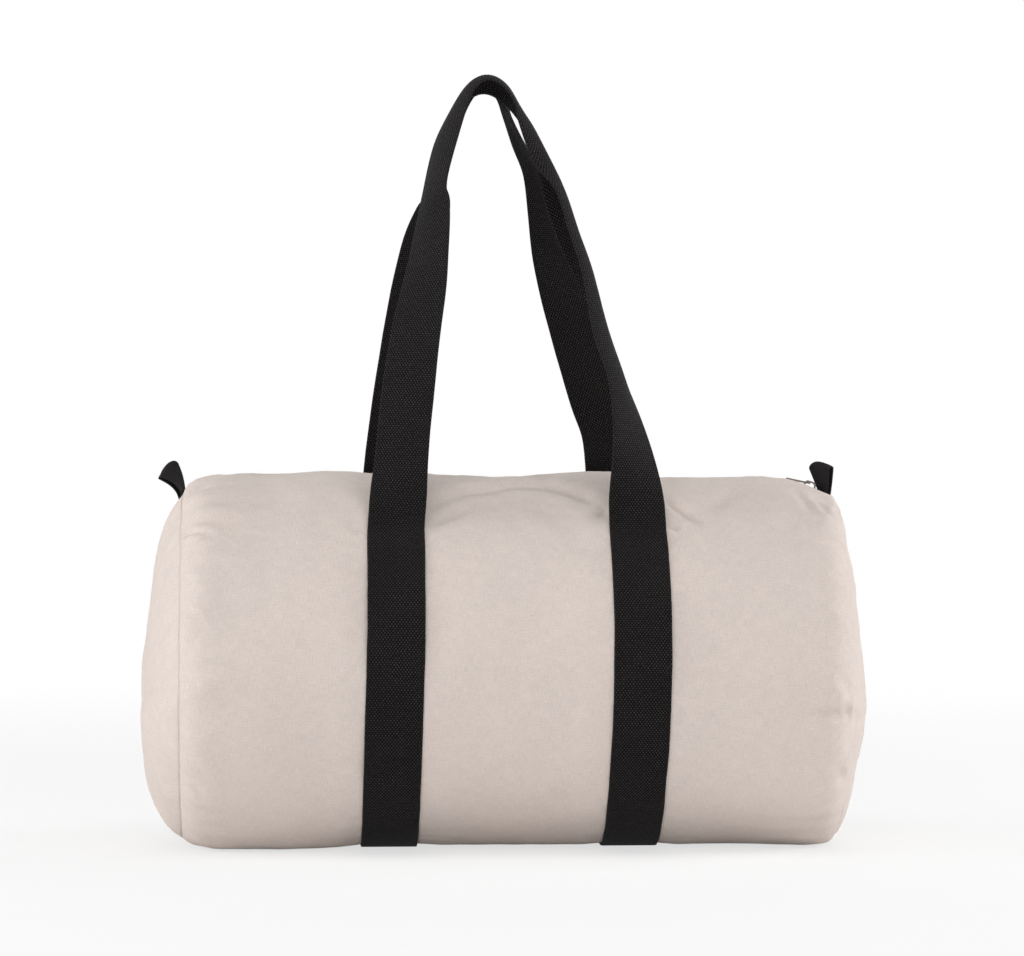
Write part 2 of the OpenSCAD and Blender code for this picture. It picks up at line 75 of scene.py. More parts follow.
# The barrel, in the sizes of the part's source; its ends draw in a little more softly here
X_SEAM = 233.0
UNDER_Z = 2.0
HALF_W, HALF_H = 134.0, 133.25
AXIS_Z = 131.25
SHOULDER_LEN, SHOULDER_DROP = 26.0, 12.0
MOUTH_HALF = 200.0
SLOPE_NEAR, SLOPE_FAR = 10, 50
ZIP_DIP, TROUGH_REACH = 2.5, 12
ZIP_GAP_W = 11.4
CLOTH_T = 1.2
STRAP_X, WEB_W, WEB_T = 85.0, 40.0, 1.8
WEB_GAP, HANDLE_GAP, MEET_GAP = 0.2, 0.3, 0.2
STITCH_ANGLE = 45.0
R_MEAN = (HALF_W + HALF_H) / 2
END_R = HALF_W - SHOULDER_DROP
# how softly cloth and webbing turn on to what they rest on
CLOTH_SOFT, WEB_SOFT = 1.2, 0.6


def smoothstep(t, near, far):
    """0 before near, 1 past far."""
    t = np.clip((np.asarray(t, float) - near) / (far - near), 0, 1)
    return t * t * (3 - 2 * t)


def fade(t, near, far):
    """1 before near, 0 past far, along a cosine."""
    t = np.clip((np.asarray(t, float) - near) / (far - near), 0, 1)
    return (1 + np.cos(np.pi * t)) / 2


def hump(t, middle, width):
    return np.exp(-(((t - middle) / width) ** 2))


def puff(d, reach):
    """0 at a seam, 1 at the reach beside it, and dying out further on."""
    return d / reach * np.exp(1 - d / reach)


def follow(line, t):
    """Value at t of a line through (place, value) pairs."""
    places, values = np.array(line, float).T
    return np.interp(t, places, values)


def path_lengths(points):
    return np.concatenate([[0], np.cumsum(np.linalg.norm(np.diff(points, axis=0), axis=1))])


def draw_in(x, a):
    """How far the barrel draws in at its seams, and on the slope before the right one."""
    end = (np.maximum(0, (np.abs(x) - X_SEAM + SHOULDER_LEN) / SHOULDER_LEN)) ** 3
    slope = fade(a, SLOPE_NEAR, SLOPE_FAR) * (x - MOUTH_HALF) / (X_SEAM - MOUTH_HALF)
    return SHOULDER_DROP * np.maximum(end, slope)


def trough(a):
    return ZIP_DIP * fade(a, 0, TROUGH_REACH)


def skin(x, a, o, floor, side, soft=CLOTH_SOFT):
    """Points on the barrel, side 1 in front and -1 behind; a is the angle from the top, o outwards."""
    r = o - draw_in(x, a) - trough(a)
    t = np.radians(a)
    y = -(HALF_W + r) * np.sin(t) * side
    z = AXIS_Z + (HALF_H + r) * np.cos(t)
    z = floor + soft * np.logaddexp(0, (z - floor) / soft)
    return np.stack(np.broadcast_arrays(x, y, z), -1)


def arc(a):
    """Distance from the top line, round the barrel."""
    return np.radians(a) * R_MEAN


def angle_at(z):
    """Angle from the top of a height on the barrel."""
    return math.degrees(math.acos((z - AXIS_Z) / HALF_H))


def angle_beside(mm):
    """Angle from the top of a place beside the zip."""
    return np.degrees(np.asarray(mm, float) / (HALF_W - 1))


# Uneven shapes, each drawn from its own seed
def waves(u, v, seed, n, short, long, warp=0.0):
    """Sum of n plane waves with lengths between short and long, about 1 high."""
    rng = np.random.default_rng(seed)
    total = np.zeros(np.broadcast(u, v).shape)
    if warp:
        u = u + warp * waves(u, v, seed + 1000, 6, long, 2 * long)
        v = v + warp * waves(v, u, seed + 2000, 6, long, 2 * long)
    for _ in range(n):
        turn, phase = rng.uniform(0, 2 * np.pi, 2)
        k = 2 * np.pi / math.exp(rng.uniform(math.log(short), math.log(long)))
        total += np.cos(k * (u * np.cos(turn) + v * np.sin(turn)) + phase)
    return total / math.sqrt(n / 2) / 1.6


def ripple(s, seed, short, long, n=7):
    """Uneven ripple along a line, about 1 high."""
    rng = np.random.default_rng(seed)
    total = np.zeros(np.shape(s))
    for _ in range(n):
        k = 2 * np.pi / rng.uniform(short, long)
        total += np.cos(k * s + rng.uniform(0, 2 * np.pi))
    return total / math.sqrt(n / 2) / 1.4


def rough(u, v, seed, kinds):
    """Waves of several kinds, each with its height before what waves() takes."""
    return sum(height * waves(u, v, seed + k, *kind) for k, (height, *kind) in enumerate(kinds))


# A stroke is felt this many widths away, and has a low lip, a share of its depth, on both sides
STROKE_REACH, LIP_AT, LIP_SHARE = 5, 2.1, 0.35
STROKE_TAPER = 0.03


def stroke(x, s, points, width, depth):
    """A soft valley along a line of (x, s) points, shallow at both its ends."""
    pts = np.array(points, float)
    lo, hi = pts.min(0) - STROKE_REACH * width, pts.max(0) + STROKE_REACH * width
    near = (x > lo[0]) & (x < hi[0]) & (s > lo[1]) & (s < hi[1])
    out = np.zeros(x.shape)
    if not near.any():
        return out
    px, ps = x[near], s[near]
    best = np.full(px.shape, np.inf)
    along = np.zeros(px.shape)
    lengths = path_lengths(pts)
    for k in range(len(pts) - 1):
        d = pts[k + 1] - pts[k]
        t = np.clip(((px - pts[k][0]) * d[0] + (ps - pts[k][1]) * d[1]) / (d @ d), 0, 1)
        gap = np.hypot(px - pts[k][0] - t * d[0], ps - pts[k][1] - t * d[1])
        better = gap < best
        best = np.where(better, gap, best)
        along = np.where(better, (lengths[k] + t * (lengths[k + 1] - lengths[k])) / lengths[-1], along)
    taper = np.sqrt(np.clip(np.sin(np.pi * np.clip(along, STROKE_TAPER, 1 - STROKE_TAPER)), 0, 1))
    profile = LIP_SHARE * hump(best, LIP_AT * width, width) - hump(best, 0, width)
    out[near] = depth * taper * profile
    return out


# Meshes
def mesh_object(name, points, faces, cloth_places, smooth=True):
    mesh = bpy.data.meshes.new(name)
    mesh.from_pydata((np.asarray(points, float).reshape(-1, 3) * MM).tolist(), [], faces)
    mesh.update()
    if smooth:
        mesh.polygons.foreach_set("use_smooth", [True] * len(mesh.polygons))
    # where each point lies on its flat cloth or webbing, for the weave
    layer = mesh.attributes.new("cloth", "FLOAT_VECTOR", "POINT")
    layer.data.foreach_set("vector", np.asarray(cloth_places, float).ravel())
    obj = bpy.data.objects.new(name, mesh)
    bpy.context.collection.objects.link(obj)
    return obj


def grid_faces(n, m, flip=False, closed=False):
    faces = []
    for i in range(n - 1):
        for j in range(m if closed else m - 1):
            k = (j + 1) % m
            q = [i * m + j, i * m + k, (i + 1) * m + k, (i + 1) * m + j]
            faces.append(q[::-1] if flip else q)
    return faces


def joined(parts):
    """Several (points, faces, cloth places) as one."""
    points, faces, places, at = [], [], [], 0
    for p, f, u in parts:
        points.append(np.reshape(p, (-1, 3)))
        places.append(np.reshape(u, (-1, 3)))
        faces += [[i + at for i in face] for face in f]
        at += len(points[-1])
    return np.concatenate(points), faces, np.concatenate(places)


def thicken(obj, t):
    """Gives a sheet its thickness, inwards."""
    m = obj.modifiers.new("thickness", "SOLIDIFY")
    m.thickness = t * MM
    m.offset = -1.0
    m.use_even_offset = False


def bevel(obj, width):
    m = obj.modifiers.new("edge", "BEVEL")
    m.width = width * MM
    m.segments = 2
    return m


def unit(v):
    v = np.asarray(v, float)
    return v / np.linalg.norm(v, axis=-1, keepdims=True)


# the thickness that is left at the rounded edge of webbing
EDGE_SHARE = 0.03


def band(mid, across, normal, half_w, half_t, count, crown=0.0):
    """Webbing with rounded edges along a line of middles; across and normal are unit vectors."""
    n = len(mid)
    half_w = np.broadcast_to(half_w, (n,))[:, None]
    crown = np.broadcast_to(crown, (n,))[:, None]
    v = np.sin(np.linspace(-np.pi / 2, np.pi / 2, count))
    v = np.concatenate([v, v[::-1]])[None]
    up = np.repeat([1.0, -1.0], count)[None]
    inset = np.clip((np.abs(v) * half_w - (half_w - half_t)) / half_t, 0, 1)
    t = half_t * (EDGE_SHARE + (1 - EDGE_SHARE) * np.sqrt(np.maximum(0, 1 - inset**2)))
    # slope of the bow, so that the thickness is laid off square to the face
    slope = -2 * crown * v / half_w
    scale = 1 / np.sqrt(1 + slope**2)
    w = v * half_w - up * t * slope * scale
    h = crown * (1 - v * v) + up * t * scale
    pts = mid[:, None] + across[:, None] * w[..., None] + normal[:, None] * h[..., None]
    # where the webbing is bowed, its weave keeps its full width
    flat = np.maximum(half_w, WEB_W / 2 * (np.abs(crown) > 0.1))
    places = np.stack(np.broadcast_arrays(v * flat, path_lengths(mid)[:, None], up), -1)
    m = 2 * count
    faces = grid_faces(n, m, closed=True)
    faces.append(list(range(m))[::-1])
    faces.append([(n - 1) * m + k for k in range(m)])
    return pts, faces, places


STITCH_SIDES, STITCH_RINGS, STITCH_TIP, STITCH_FULLNESS = 8, 5, 0.02, 0.6


def capsule(length, radius, height):
    """A stitch that lies along X: rounded, a little flat."""
    pts = []
    for i in range(STITCH_RINGS + 1):
        t = np.pi * i / STITCH_RINGS
        r = radius * np.sin(t) ** STITCH_FULLNESS if 0 < i < STITCH_RINGS else STITCH_TIP
        for k in range(STITCH_SIDES):
            b = 2 * np.pi * k / STITCH_SIDES
            pts.append([-np.cos(t) * length / 2, r * np.cos(b), height / radius * r * np.sin(b)])
    faces = grid_faces(STITCH_RINGS + 1, STITCH_SIDES, closed=True, flip=True)
    faces.append(list(range(STITCH_SIDES)))
    faces.append([STITCH_RINGS * STITCH_SIDES + k for k in range(STITCH_SIDES)][::-1])
    return np.array(pts), faces


def stitches(places, size):
    """A stitch at each (point, along, normal)."""
    base, faces = capsule(*size)
    parts = []
    for p, along, up in places:
        turn = np.stack([along, np.cross(up, along), up])
        parts.append((base @ turn + p, faces, np.zeros(base.shape)))
    return joined(parts)


def stations(breaks):
    """Places along a line; breaks holds (from, to, step) one after the other."""
    out = []
    for lo, hi, step in breaks:
        n = max(1, round((hi - lo) / step))
        out += list(np.linspace(lo, hi, n + 1)[:-1])
    return np.array(out + [breaks[-1][1]])


# Lines of the cloth that the photograph shows, as x and height
ZIP_EDGE = math.degrees(math.asin(ZIP_GAP_W / 2 / HALF_W))
ON_STRAP, ON_GROUND = 2.02, 0.15
# the lowest height of the cloth, which rests on the straps and hangs free beside them
FLOOR_LINE = [(-233, 5.0), (-226, 2.6), (-212, 0.5), (-135, 0.4), (-114, 1.3), (-105, ON_STRAP),
              (-65, ON_STRAP), (-48, 1.0), (0, 0.4), (48, 1.0), (65, ON_STRAP), (105, ON_STRAP), (120, 0.9),
              (150, 0.4), (208, 0.5), (222, 1.2), (233, 2.5)]
FLOOR_WAVE_H, FLOOR_SEED, FLOOR_WAVES = 0.25, 77, (8, 20, 50)
# the top line
TOP_LINE = [(-233, 250.9), (-231.2, 254.6), (-229.2, 256.8), (-224, 259.8), (-216.4, 262.5), (-208.4, 264.7),
            (-188.9, 265.8), (-156.6, 266.3), (-134, 267.8), (-119.6, 266.8), (-105, 265.5), (-85, 265.4),
            (-56.7, 265.8), (-35, 264.6), (-11.9, 263.4), (12, 264.3), (33.6, 266.0), (56.7, 267.4),
            (73.4, 267.3), (95, 265.0), (112.4, 263.1), (139.8, 263.4), (162.2, 264.3), (177.4, 264.7),
            (189.7, 264.2), (198.3, 262.9), (206.3, 260.7), (210.6, 259.4), (215.3, 257.9), (220.8, 255.3),
            (228.6, 251.8), (233, 249.6)]
CREST_ANGLE = 8.5
CREST_FADE = (13, 46)

# How far the cloth sags in front of where it rests, as x and depth, and the angle where it does
SAG_LINE = [(-233, 1), (-222, 2.5), (-205, 6), (-160, 8), (-128, 5.5), (-108, 2), (-62, 1.5), (0, 1),
            (62, 1.5), (108, 2), (150, 1.5), (210, 3), (233, 2)]
SAG_ANGLE, SAG_WIDTH = 158, 15

# Middle of the left and the right strap on each side, as angle from the top and x
STRAP_LINES = {
    1: ([(45, -83.3), (80, -84.0), (105, -85.6), (130, -86.4), (180, -86.5)],
        [(45, 85.7), (75, 86.1), (110, 85.0), (125, 84.2), (180, 85.0)]),
    -1: ([(45, -84.5), (90, -85.2), (135, -86.0), (180, -86.5)],
         [(45, 85.0), (90, 85.6), (135, 85.2), (180, 85.0)])}


def strap_middle(side, k, a):
    return follow(STRAP_LINES[side][k], a)


# Folds of the cloth: a line of x and height, the width and the depth before FOLD_GAIN
FOLD_GAIN = 1.9
FOLDS = {
    1: [
        # the cloth hangs from the zip between the straps, over a soft arch
        ([(-60, 236), (-50, 246), (-34, 253), (-16, 254), (0, 257), (26, 256), (46, 250), (62, 238)],
         6.5, 1.9),
        ([(-60, 229), (-46, 236), (-30, 242)], 5.0, 1.0),
        ([(66, 243), (58, 236)], 4.5, 1.3),
        ([(110, 247), (124, 236), (129, 232)], 4.2, 1.8),
        ([(108, 232), (116, 226)], 3.2, 0.9),
        ([(142, 240), (152, 250), (164, 256)], 5.5, 0.9),
        ([(203, 254), (209, 245), (212, 236)], 3.6, 0.8),
        ([(214, 252), (221, 243), (228, 236)], 3.0, 0.8),
        # at the left seam
        ([(-232, 232), (-222, 227), (-212, 224)], 3.0, 1.0),
        ([(-232, 222), (-223, 221), (-212, 222)], 2.6, 0.8),
        ([(-232, 176), (-224, 170), (-216, 163)], 3.0, 0.7),
        ([(-231, 128), (-224, 124), (-218, 119)], 3.0, 0.6),
        ([(-232, 74), (-224, 66), (-214, 58)], 3.4, 0.8),
        ([(-232, 56), (-224, 52), (-216, 40)], 3.0, 0.7),
        # at the right seam
        ([(208, 102), (220, 99), (231, 95)], 2.8, 1.7),
        ([(222, 124), (229, 117), (232, 108)], 3.0, 1.5),
        ([(228, 105), (230, 98), (231, 91)], 2.2, 0.8),
        ([(224, 60), (229, 48), (232, 38)], 3.0, 0.7)],
    -1: [
        ([(-62, 240), (-40, 250), (-8, 255), (22, 252), (48, 244), (63, 236)], 7.0, 1.6),
        ([(-112, 246), (-124, 238), (-134, 233)], 4.5, 1.4),
        ([(112, 240), (126, 246), (146, 252)], 5.5, 1.0),
        ([(-232, 214), (-222, 208), (-210, 206)], 3.0, 0.9),
        ([(-232, 120), (-222, 116), (-214, 110)], 3.0, 0.8),
        ([(-231, 70), (-223, 62), (-216, 50)], 3.2, 0.8),
        ([(231, 190), (223, 184), (214, 181)], 3.0, 0.9),
        ([(231, 92), (222, 86), (214, 78)], 3.0, 0.9),
        ([(-58, 150), (-30, 128), (6, 118)], 11.0, 0.8)]}

# Swells and crumple: height, number of waves, shortest and longest, and how far they are warped
CLOTH_WAVES = [(0.9, 14, 70, 170, 8.0), (0.42, 18, 26, 60, 5.0), (0.10, 24, 9, 20)]
END_WAVES = [(1.5, 10, 60, 150, 8.0), (0.35, 16, 22, 50), (0.1, 20, 8, 18)]
CREASE_WAVES, CREASE_H, CREASE_SHARPNESS = (9, 60, 130, 9.0), 0.4, 6
CLOTH_SEEDS = {1: 100, -1: 200}
END_SEEDS = {True: 310, False: 330}
CALM_BELOW, CALM_SHARE = (120, 165), 0.75
EDGE_CALM = 9

# Gathers beside an end seam: height, reach, and their shortest and longest ripple
GATHER_H, GATHER_REACH, GATHER_RIPPLE = 1.5, 9, (24, 58)
GATHER_STARTS, GATHER_STOPS = (8, 30), (385, 410)
GATHER_SEED, TIGHT_SEED, SHORT_SEED = 31, 71, 61
TIGHT_H, TIGHT_REACH, TIGHT_RIPPLE = 0.3, 4, (9, 17)
SHORT_H, SHORT_REACH, SHORT_RIPPLE, SHORT_STOPS = 0.4, 13, (12, 24), (380, 405)
# how much fuller the cloth is under the bag beside a seam
HANG, HANG_REACH, HANG_ANGLES = 5.5, 20, (138, 172)

# Each strap presses the cloth in, which swells and puckers beside it: height and reach
PRESS, PRESS_REACH = 0.55, 4
BESIDE, BESIDE_AT, BESIDE_WIDTH = 0.55, 15, 9
PUCKER, PUCKER_REACH, PUCKER_RIPPLE, PUCKER_STARTS = 0.55, 6.5, (7, 17), (-0.5, 2)
PUCKER_SEED_RIGHT, PUCKER_SEED_LEFT = 11, 21
SEWN_ANGLES, STRAP_EDGE = (38, 46), 1.5


def top_offset(x, a):
    """Brings the cloth beside the zip up or down to the top line."""
    crest = AXIS_Z + (HALF_H - draw_in(x, CREST_ANGLE) - trough(CREST_ANGLE)) * math.cos(
        math.radians(CREST_ANGLE))
    return (follow(TOP_LINE, x) - crest) * smoothstep(a, ZIP_EDGE + 0.4, CREST_ANGLE) * fade(a, *CREST_FADE)


def seam_ripple(s, left, side):
    """Uneven gathers along an end seam."""
    ends = smoothstep(s, *GATHER_STARTS) * (1 - smoothstep(s, *GATHER_STOPS))
    return ends * ripple(s, GATHER_SEED + 7 * left + 3 * (side < 0), *GATHER_RIPPLE)


def seam_offset(x, a, side):
    """Gathers beside both end seams, which hang low where the bag rests."""
    s = arc(a)
    edge = smoothstep(a, ZIP_EDGE, EDGE_CALM)
    o = np.zeros(np.broadcast(x, a).shape)
    for left in ENDS:
        d = np.maximum(X_SEAM + x if left else X_SEAM - x, 0)
        o = o + GATHER_H * seam_ripple(s, left, side) * puff(d, GATHER_REACH)
        o = o + TIGHT_H * ripple(s, TIGHT_SEED + left, *TIGHT_RIPPLE) * puff(d, TIGHT_REACH) * edge
        short = ripple(s, SHORT_SEED + left, *SHORT_RIPPLE) * (1 - smoothstep(s, *SHORT_STOPS))
        o = o + SHORT_H * short * puff(d, SHORT_REACH) * edge
        o = o + HANG * smoothstep(a, *HANG_ANGLES) * np.exp(-d / HANG_REACH)
    return o


def pressed_by_straps(x, a, side, o):
    """The straps press the cloth in, and it puckers along them."""
    s = arc(a)
    seed = CLOTH_SEEDS[side]
    sewn = smoothstep(a, *SEWN_ANGLES)
    for k in (0, 1):
        strap_x = strap_middle(side, k, a)
        d = np.abs(x - strap_x) - WEB_W / 2
        out = np.maximum(d, 0)
        pucker = np.where(x > strap_x, ripple(s, seed + PUCKER_SEED_RIGHT + k, *PUCKER_RIPPLE),
                          ripple(s, seed + PUCKER_SEED_LEFT + k, *PUCKER_RIPPLE))
        press = BESIDE * hump(out, BESIDE_AT, BESIDE_WIDTH) * (d > 0) - PRESS * np.exp(-out / PRESS_REACH)
        o = o + sewn * (press + PUCKER * pucker * np.exp(-out / PUCKER_REACH) * smoothstep(d, *PUCKER_STARTS))
        under = smoothstep(-d, -STRAP_EDGE, STRAP_EDGE) * sewn
        o = o * (1 - under) + np.minimum(o, 0.0) * under
    return o


def cloth_offset(x, a, side):
    """How far the cloth stands out of the plain barrel."""
    s = arc(a)
    seed = CLOTH_SEEDS[side]
    calm = (1 - CALM_SHARE * smoothstep(a, *CALM_BELOW)) * smoothstep(a, ZIP_EDGE, EDGE_CALM)
    o = top_offset(x, a) + calm * rough(x, s, seed, CLOTH_WAVES)
    # creases: thin low ridges where two slow waves meet
    crease = 1 - np.abs(waves(x, s, seed + len(CLOTH_WAVES), *CREASE_WAVES))
    o = o + calm * CREASE_H * np.clip(crease, 0, 1) ** CREASE_SHARPNESS
    o = o + seam_offset(x, a, side) + follow(SAG_LINE, x) * hump(a, SAG_ANGLE, SAG_WIDTH)
    o = pressed_by_straps(x, a, side, o)
    for line, width, depth in FOLDS[side]:
        on_cloth = [(px, arc(angle_at(z))) for px, z in line]
        o = o + stroke(x, s, on_cloth, width, FOLD_GAIN * depth)
    return o


# Steps of the cloth's mesh from the middle to an end and from the zip down, finer where it bends
CLOTH_STEPS = [(0, 52, 2.9), (52, 64, 1.6), (64, 68, 1.0), (68, 102, 3.4), (102, 106, 1.0), (106, 118, 1.6),
               (118, MOUTH_HALF, 2.9), (MOUTH_HALF, X_SEAM, 1.3)]
CLOTH_ANGLES = stations([(ZIP_EDGE, 12, 0.55), (12, 50, 0.8), (50, 160, 1.15), (160, 180, 1.6)])
HEM_H, HEM_AT, HEM_W = 0.55, 1.1, 0.9


def blend_to_mouth(obj):
    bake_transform(obj)


def make_cloth(side):
    half = stations(CLOTH_STEPS)
    x, a = np.meshgrid(np.concatenate([-half[:0:-1], half]), CLOTH_ANGLES, indexing="ij")
    # the cloth is folded under at the zip, a little fuller at its edge
    o = cloth_offset(x, a, side) + HEM_H * hump(a, ZIP_EDGE + HEM_AT, HEM_W)
    floor = follow(FLOOR_LINE, x) + FLOOR_WAVE_H * waves(x, arc(a), FLOOR_SEED, *FLOOR_WAVES)
    near_strap = np.minimum(np.abs(x + STRAP_X), np.abs(x - STRAP_X)) < WEB_W / 2 + 1
    floor = np.maximum(floor, np.where(near_strap, ON_STRAP, ON_GROUND))
    obj = mesh_object(SIDES[side] + "_cloth", skin(x, a, o, floor, side),
                      grid_faces(*x.shape, flip=side < 0), np.stack([x, arc(a) * side, 0 * x], -1))
    thicken(obj, CLOTH_T)
    blend_to_mouth(obj)
    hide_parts("body_panel", SIDES[side] + "_mouth_edge")
    return obj


# End panels: a flat share and a full share of their swell, and how low their middle hangs
END_BULGE, END_SAG, FLAT_SWELL = 29.0, 20.0, 0.65
END_FLAT_POWER, END_FULL_POWER, END_RIM_POWER = 2, 8, 16
# how far each end stands further out, as height and distance
END_LINES = {
    True: [(0, 3), (30, 4), (60, 3.4), (97, 2.6), (112, 0), (150, -0.6), (205, 0), (228, 1.4), (250, 3)],
    False: [(10, -0.5), (23, -2.7), (41, -5.6), (60, -7.4), (72, -7.0), (100, -5.7), (127, -8.6), (150, -8.8),
            (187, -6.6), (214, -7.6), (231, -4.7), (240, -1.5), (250, -1.5)]}
END_WAVE_R, END_WAVE_POWER, END_GATHER, RIM_CALM_SHARE = 130, 6, 1.1, 0.35
END_RINGS = np.concatenate([np.linspace(0.012, 0.86, 42), np.linspace(0.87, 1, 12)])
END_TURNS = np.arange(0, 360, 1.0)
# the right end has a dimple where a fold of the seam runs on to it, as y and height
DIMPLE, DIMPLE_SIZE, DIMPLE_DEPTH = (-103, 97), (9, 8), 4.0
DIMPLE_FOLD, DIMPLE_FOLD_W, DIMPLE_FOLD_DEPTH = [(-112, 101), (-103, 97), (-90, 95)], 3.2, 2.0
RIM_EASE = 0.72
END_LOWEST = 0.4


def end_offset(t, a, left, s):
    """How far an end stands out of its plain swell; t is 0 in its middle and 1 at the seam."""
    u, v = END_WAVE_R * t * np.sin(a), END_WAVE_R * t * np.cos(a)
    o = (1 - t**END_WAVE_POWER) * rough(u, v, END_SEEDS[left], END_WAVES)
    gather = np.where(np.sin(a) >= 0, seam_ripple(s, left, 1), seam_ripple(s, left, -1))
    return o - END_GATHER * gather * puff((1 - t) * END_R, GATHER_REACH)


def wrap_edge(left, turn):
    """The wrap's edge at an end seam, all round from the top by the front."""
    x = np.array(-X_SEAM if left else X_SEAM)
    a = np.where(turn > 180, 360 - turn, turn)
    front, back = (skin(x, a, cloth_offset(x + 0 * a, a, side), follow(FLOOR_LINE, x), side)
                   for side in SIDES)
    return np.where(turn[:, None] > 180, back, front)


def make_end(left):
    t, around = np.meshgrid(END_RINGS, END_TURNS, indexing="ij")
    a = np.radians(around)
    s = arc(np.where(around > 180, 360 - around, around))
    flat = 1 - t**END_FLAT_POWER
    swell = FLAT_SWELL * flat + (1 - FLAT_SWELL) * (1 - t**END_FULL_POWER)
    y = -END_R * t * np.sin(a)
    z = AXIS_Z - END_SAG * flat + (HALF_H - SHOULDER_DROP) * t * np.cos(a)
    o = end_offset(t, a, left, s)
    if not left:
        away = ((y - DIMPLE[0]) / DIMPLE_SIZE[0]) ** 2 + ((z - DIMPLE[1]) / DIMPLE_SIZE[1]) ** 2
        o = o - DIMPLE_DEPTH * np.exp(-away) + stroke(y, z, DIMPLE_FOLD, DIMPLE_FOLD_W, DIMPLE_FOLD_DEPTH)
    x = X_SEAM + END_BULGE * swell + o * (1 - RIM_CALM_SHARE * t)
    x = x + follow(END_LINES[left], z) * (1 - t**END_RIM_POWER)
    # the rim runs exactly along the wrap's edge
    rim = wrap_edge(left, END_TURNS)
    pull = smoothstep(t, RIM_EASE, 1)
    y = y + pull * (rim[:, 1] - y[-1])
    z = np.maximum(z + pull * (rim[:, 2] - z[-1]), END_LOWEST)
    faces = grid_faces(*t.shape, closed=True, flip=not left)
    # one small face closes the middle
    middle = list(range(len(END_TURNS)))
    faces.append(middle[::-1] if left else middle)
    obj = mesh_object(ENDS[left] + "_end_cloth", np.stack([-x if left else x, y, z], -1), faces,
                      np.stack([y, z, 0 * t], -1))
    thicken(obj, CLOTH_T)
    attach(obj, "root")
    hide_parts(ENDS[left] + "_end_panel")
    return obj


# Handles: their centre lines, each as x, distance up the handle's plane, turn of the webbing and
# how far its middle bows out of the flat
HANDLE_REACH, HANDLE_SWELL = 325.0, 7.0
LOOPS = {
    1: [(-83.3, 0, 0, 0), (-82.3, 14, 3, 0), (-79.3, 49, 21, 0.6), (-75, 92.5, 23, 0.6),
        (-68.7, 140, 30, 0.6), (-63.8, 166, 37, 1), (-59.3, 195, 47, 1.5), (-55.7, 225, 56, 2.2),
        (-54.3, 247, 67, 2.2), (-45.3, 284.6, 66, 2.6), (-35, 309.6, 73, 3.8), (-25.2, 321.4, 81, 6.2),
        (-15.4, 325, 86, 7.2), (-5.2, 320, 87, 5.6), (4.9, 307, 84, 3), (9.4, 292.5, 77, 7),
        (18.4, 262.5, 79, 11.4), (28, 240, 103, 11.3), (36.9, 210.3, 100, 11), (47.6, 180.7, 90, 9.4),
        (61.3, 136.5, 69, 6), (71.6, 107.3, 66, 4.4), (79.2, 78.1, 54, 2), (83.5, 49.1, 36, 1),
        (85.4, 14, 5, 0), (85.7, 0, 0, 0)],
    -1: [(-84.5, 0, 0, 0), (-84.1, 14, 1.7, 0), (-80.2, 66, 12, 0.4), (-68.8, 156, 27, 1),
         (-59.3, 209, 34, 1.6), (-51.7, 240, 50, 2), (-50.4, 254, 66, 2), (-46.2, 275.4, 68, 2.2),
         (-36.8, 304, 71, 3.2), (-25, 320.6, 81, 5.6), (-15.4, 325, 86, 7.2), (-5.2, 319.6, 86, 4.4),
         (1.8, 305, 83, 2), (10.4, 284.5, 78, 3.6), (22, 262, 69, 4), (29.6, 231.4, 57, 3.6),
         (36.6, 201.7, 44, 2.6), (45.9, 171.7, 32, 1.6), (55.4, 141.7, 25, 1), (69.9, 96.2, 19, 0.6),
         (80.9, 65.8, 10, 0.4), (84.9, 14, 1.4, 0), (85, 0, 0, 0)]}
LOOP_STEPS = 6
# middle of the webbing above the barrel: the straps, and the handles that start over them
STRAP_OUT = WEB_GAP + WEB_T / 2
HANDLE_OUT = STRAP_OUT + WEB_T + HANDLE_GAP
UNDER_STRAP = UNDER_Z - STRAP_OUT
# a handle leaves its strap straight, and eases out on to its own line
FOOT_STRAIGHT, FOOT_EASE, FOOT_LIFT, FOOT_LIFT_REACH = 14, 16, 0.8, 13
STRAP_ANGLES = np.concatenate([np.linspace(180, 160, 26), np.linspace(160, 46, 110)[1:]])
EDGE_WOBBLE, EDGE_SEED, EDGE_RIPPLE, MOST_BOW = 0.08, 41, (25, 70), 11.8
WEB_POINTS = 21


def smooth_path(points, per_point):
    """A smooth curve through all the points."""
    pts = np.array(points, float)
    n = len(pts) - 1
    out = []
    for q in range(n * per_point + 1):
        t = q / per_point
        i = min(int(t), n - 1)
        u = t - i
        pa, pb = pts[max(i - 1, 0)], pts[i]
        pc, pd = pts[i + 1], pts[min(i + 2, n)]
        out.append(0.5 * (2 * pb + (pc - pa) * u + (2 * pa - 5 * pb + 4 * pc - pd) * u * u
                          + (3 * pb - pa - 3 * pc + pd) * u**3))
    return np.array(out)


def foot_at(o):
    """Place of a handle's foot above the barrel, in the plane of x zero."""
    return skin(np.array(0.0), np.array(STITCH_ANGLE), o, 0.0, 1).reshape(3)


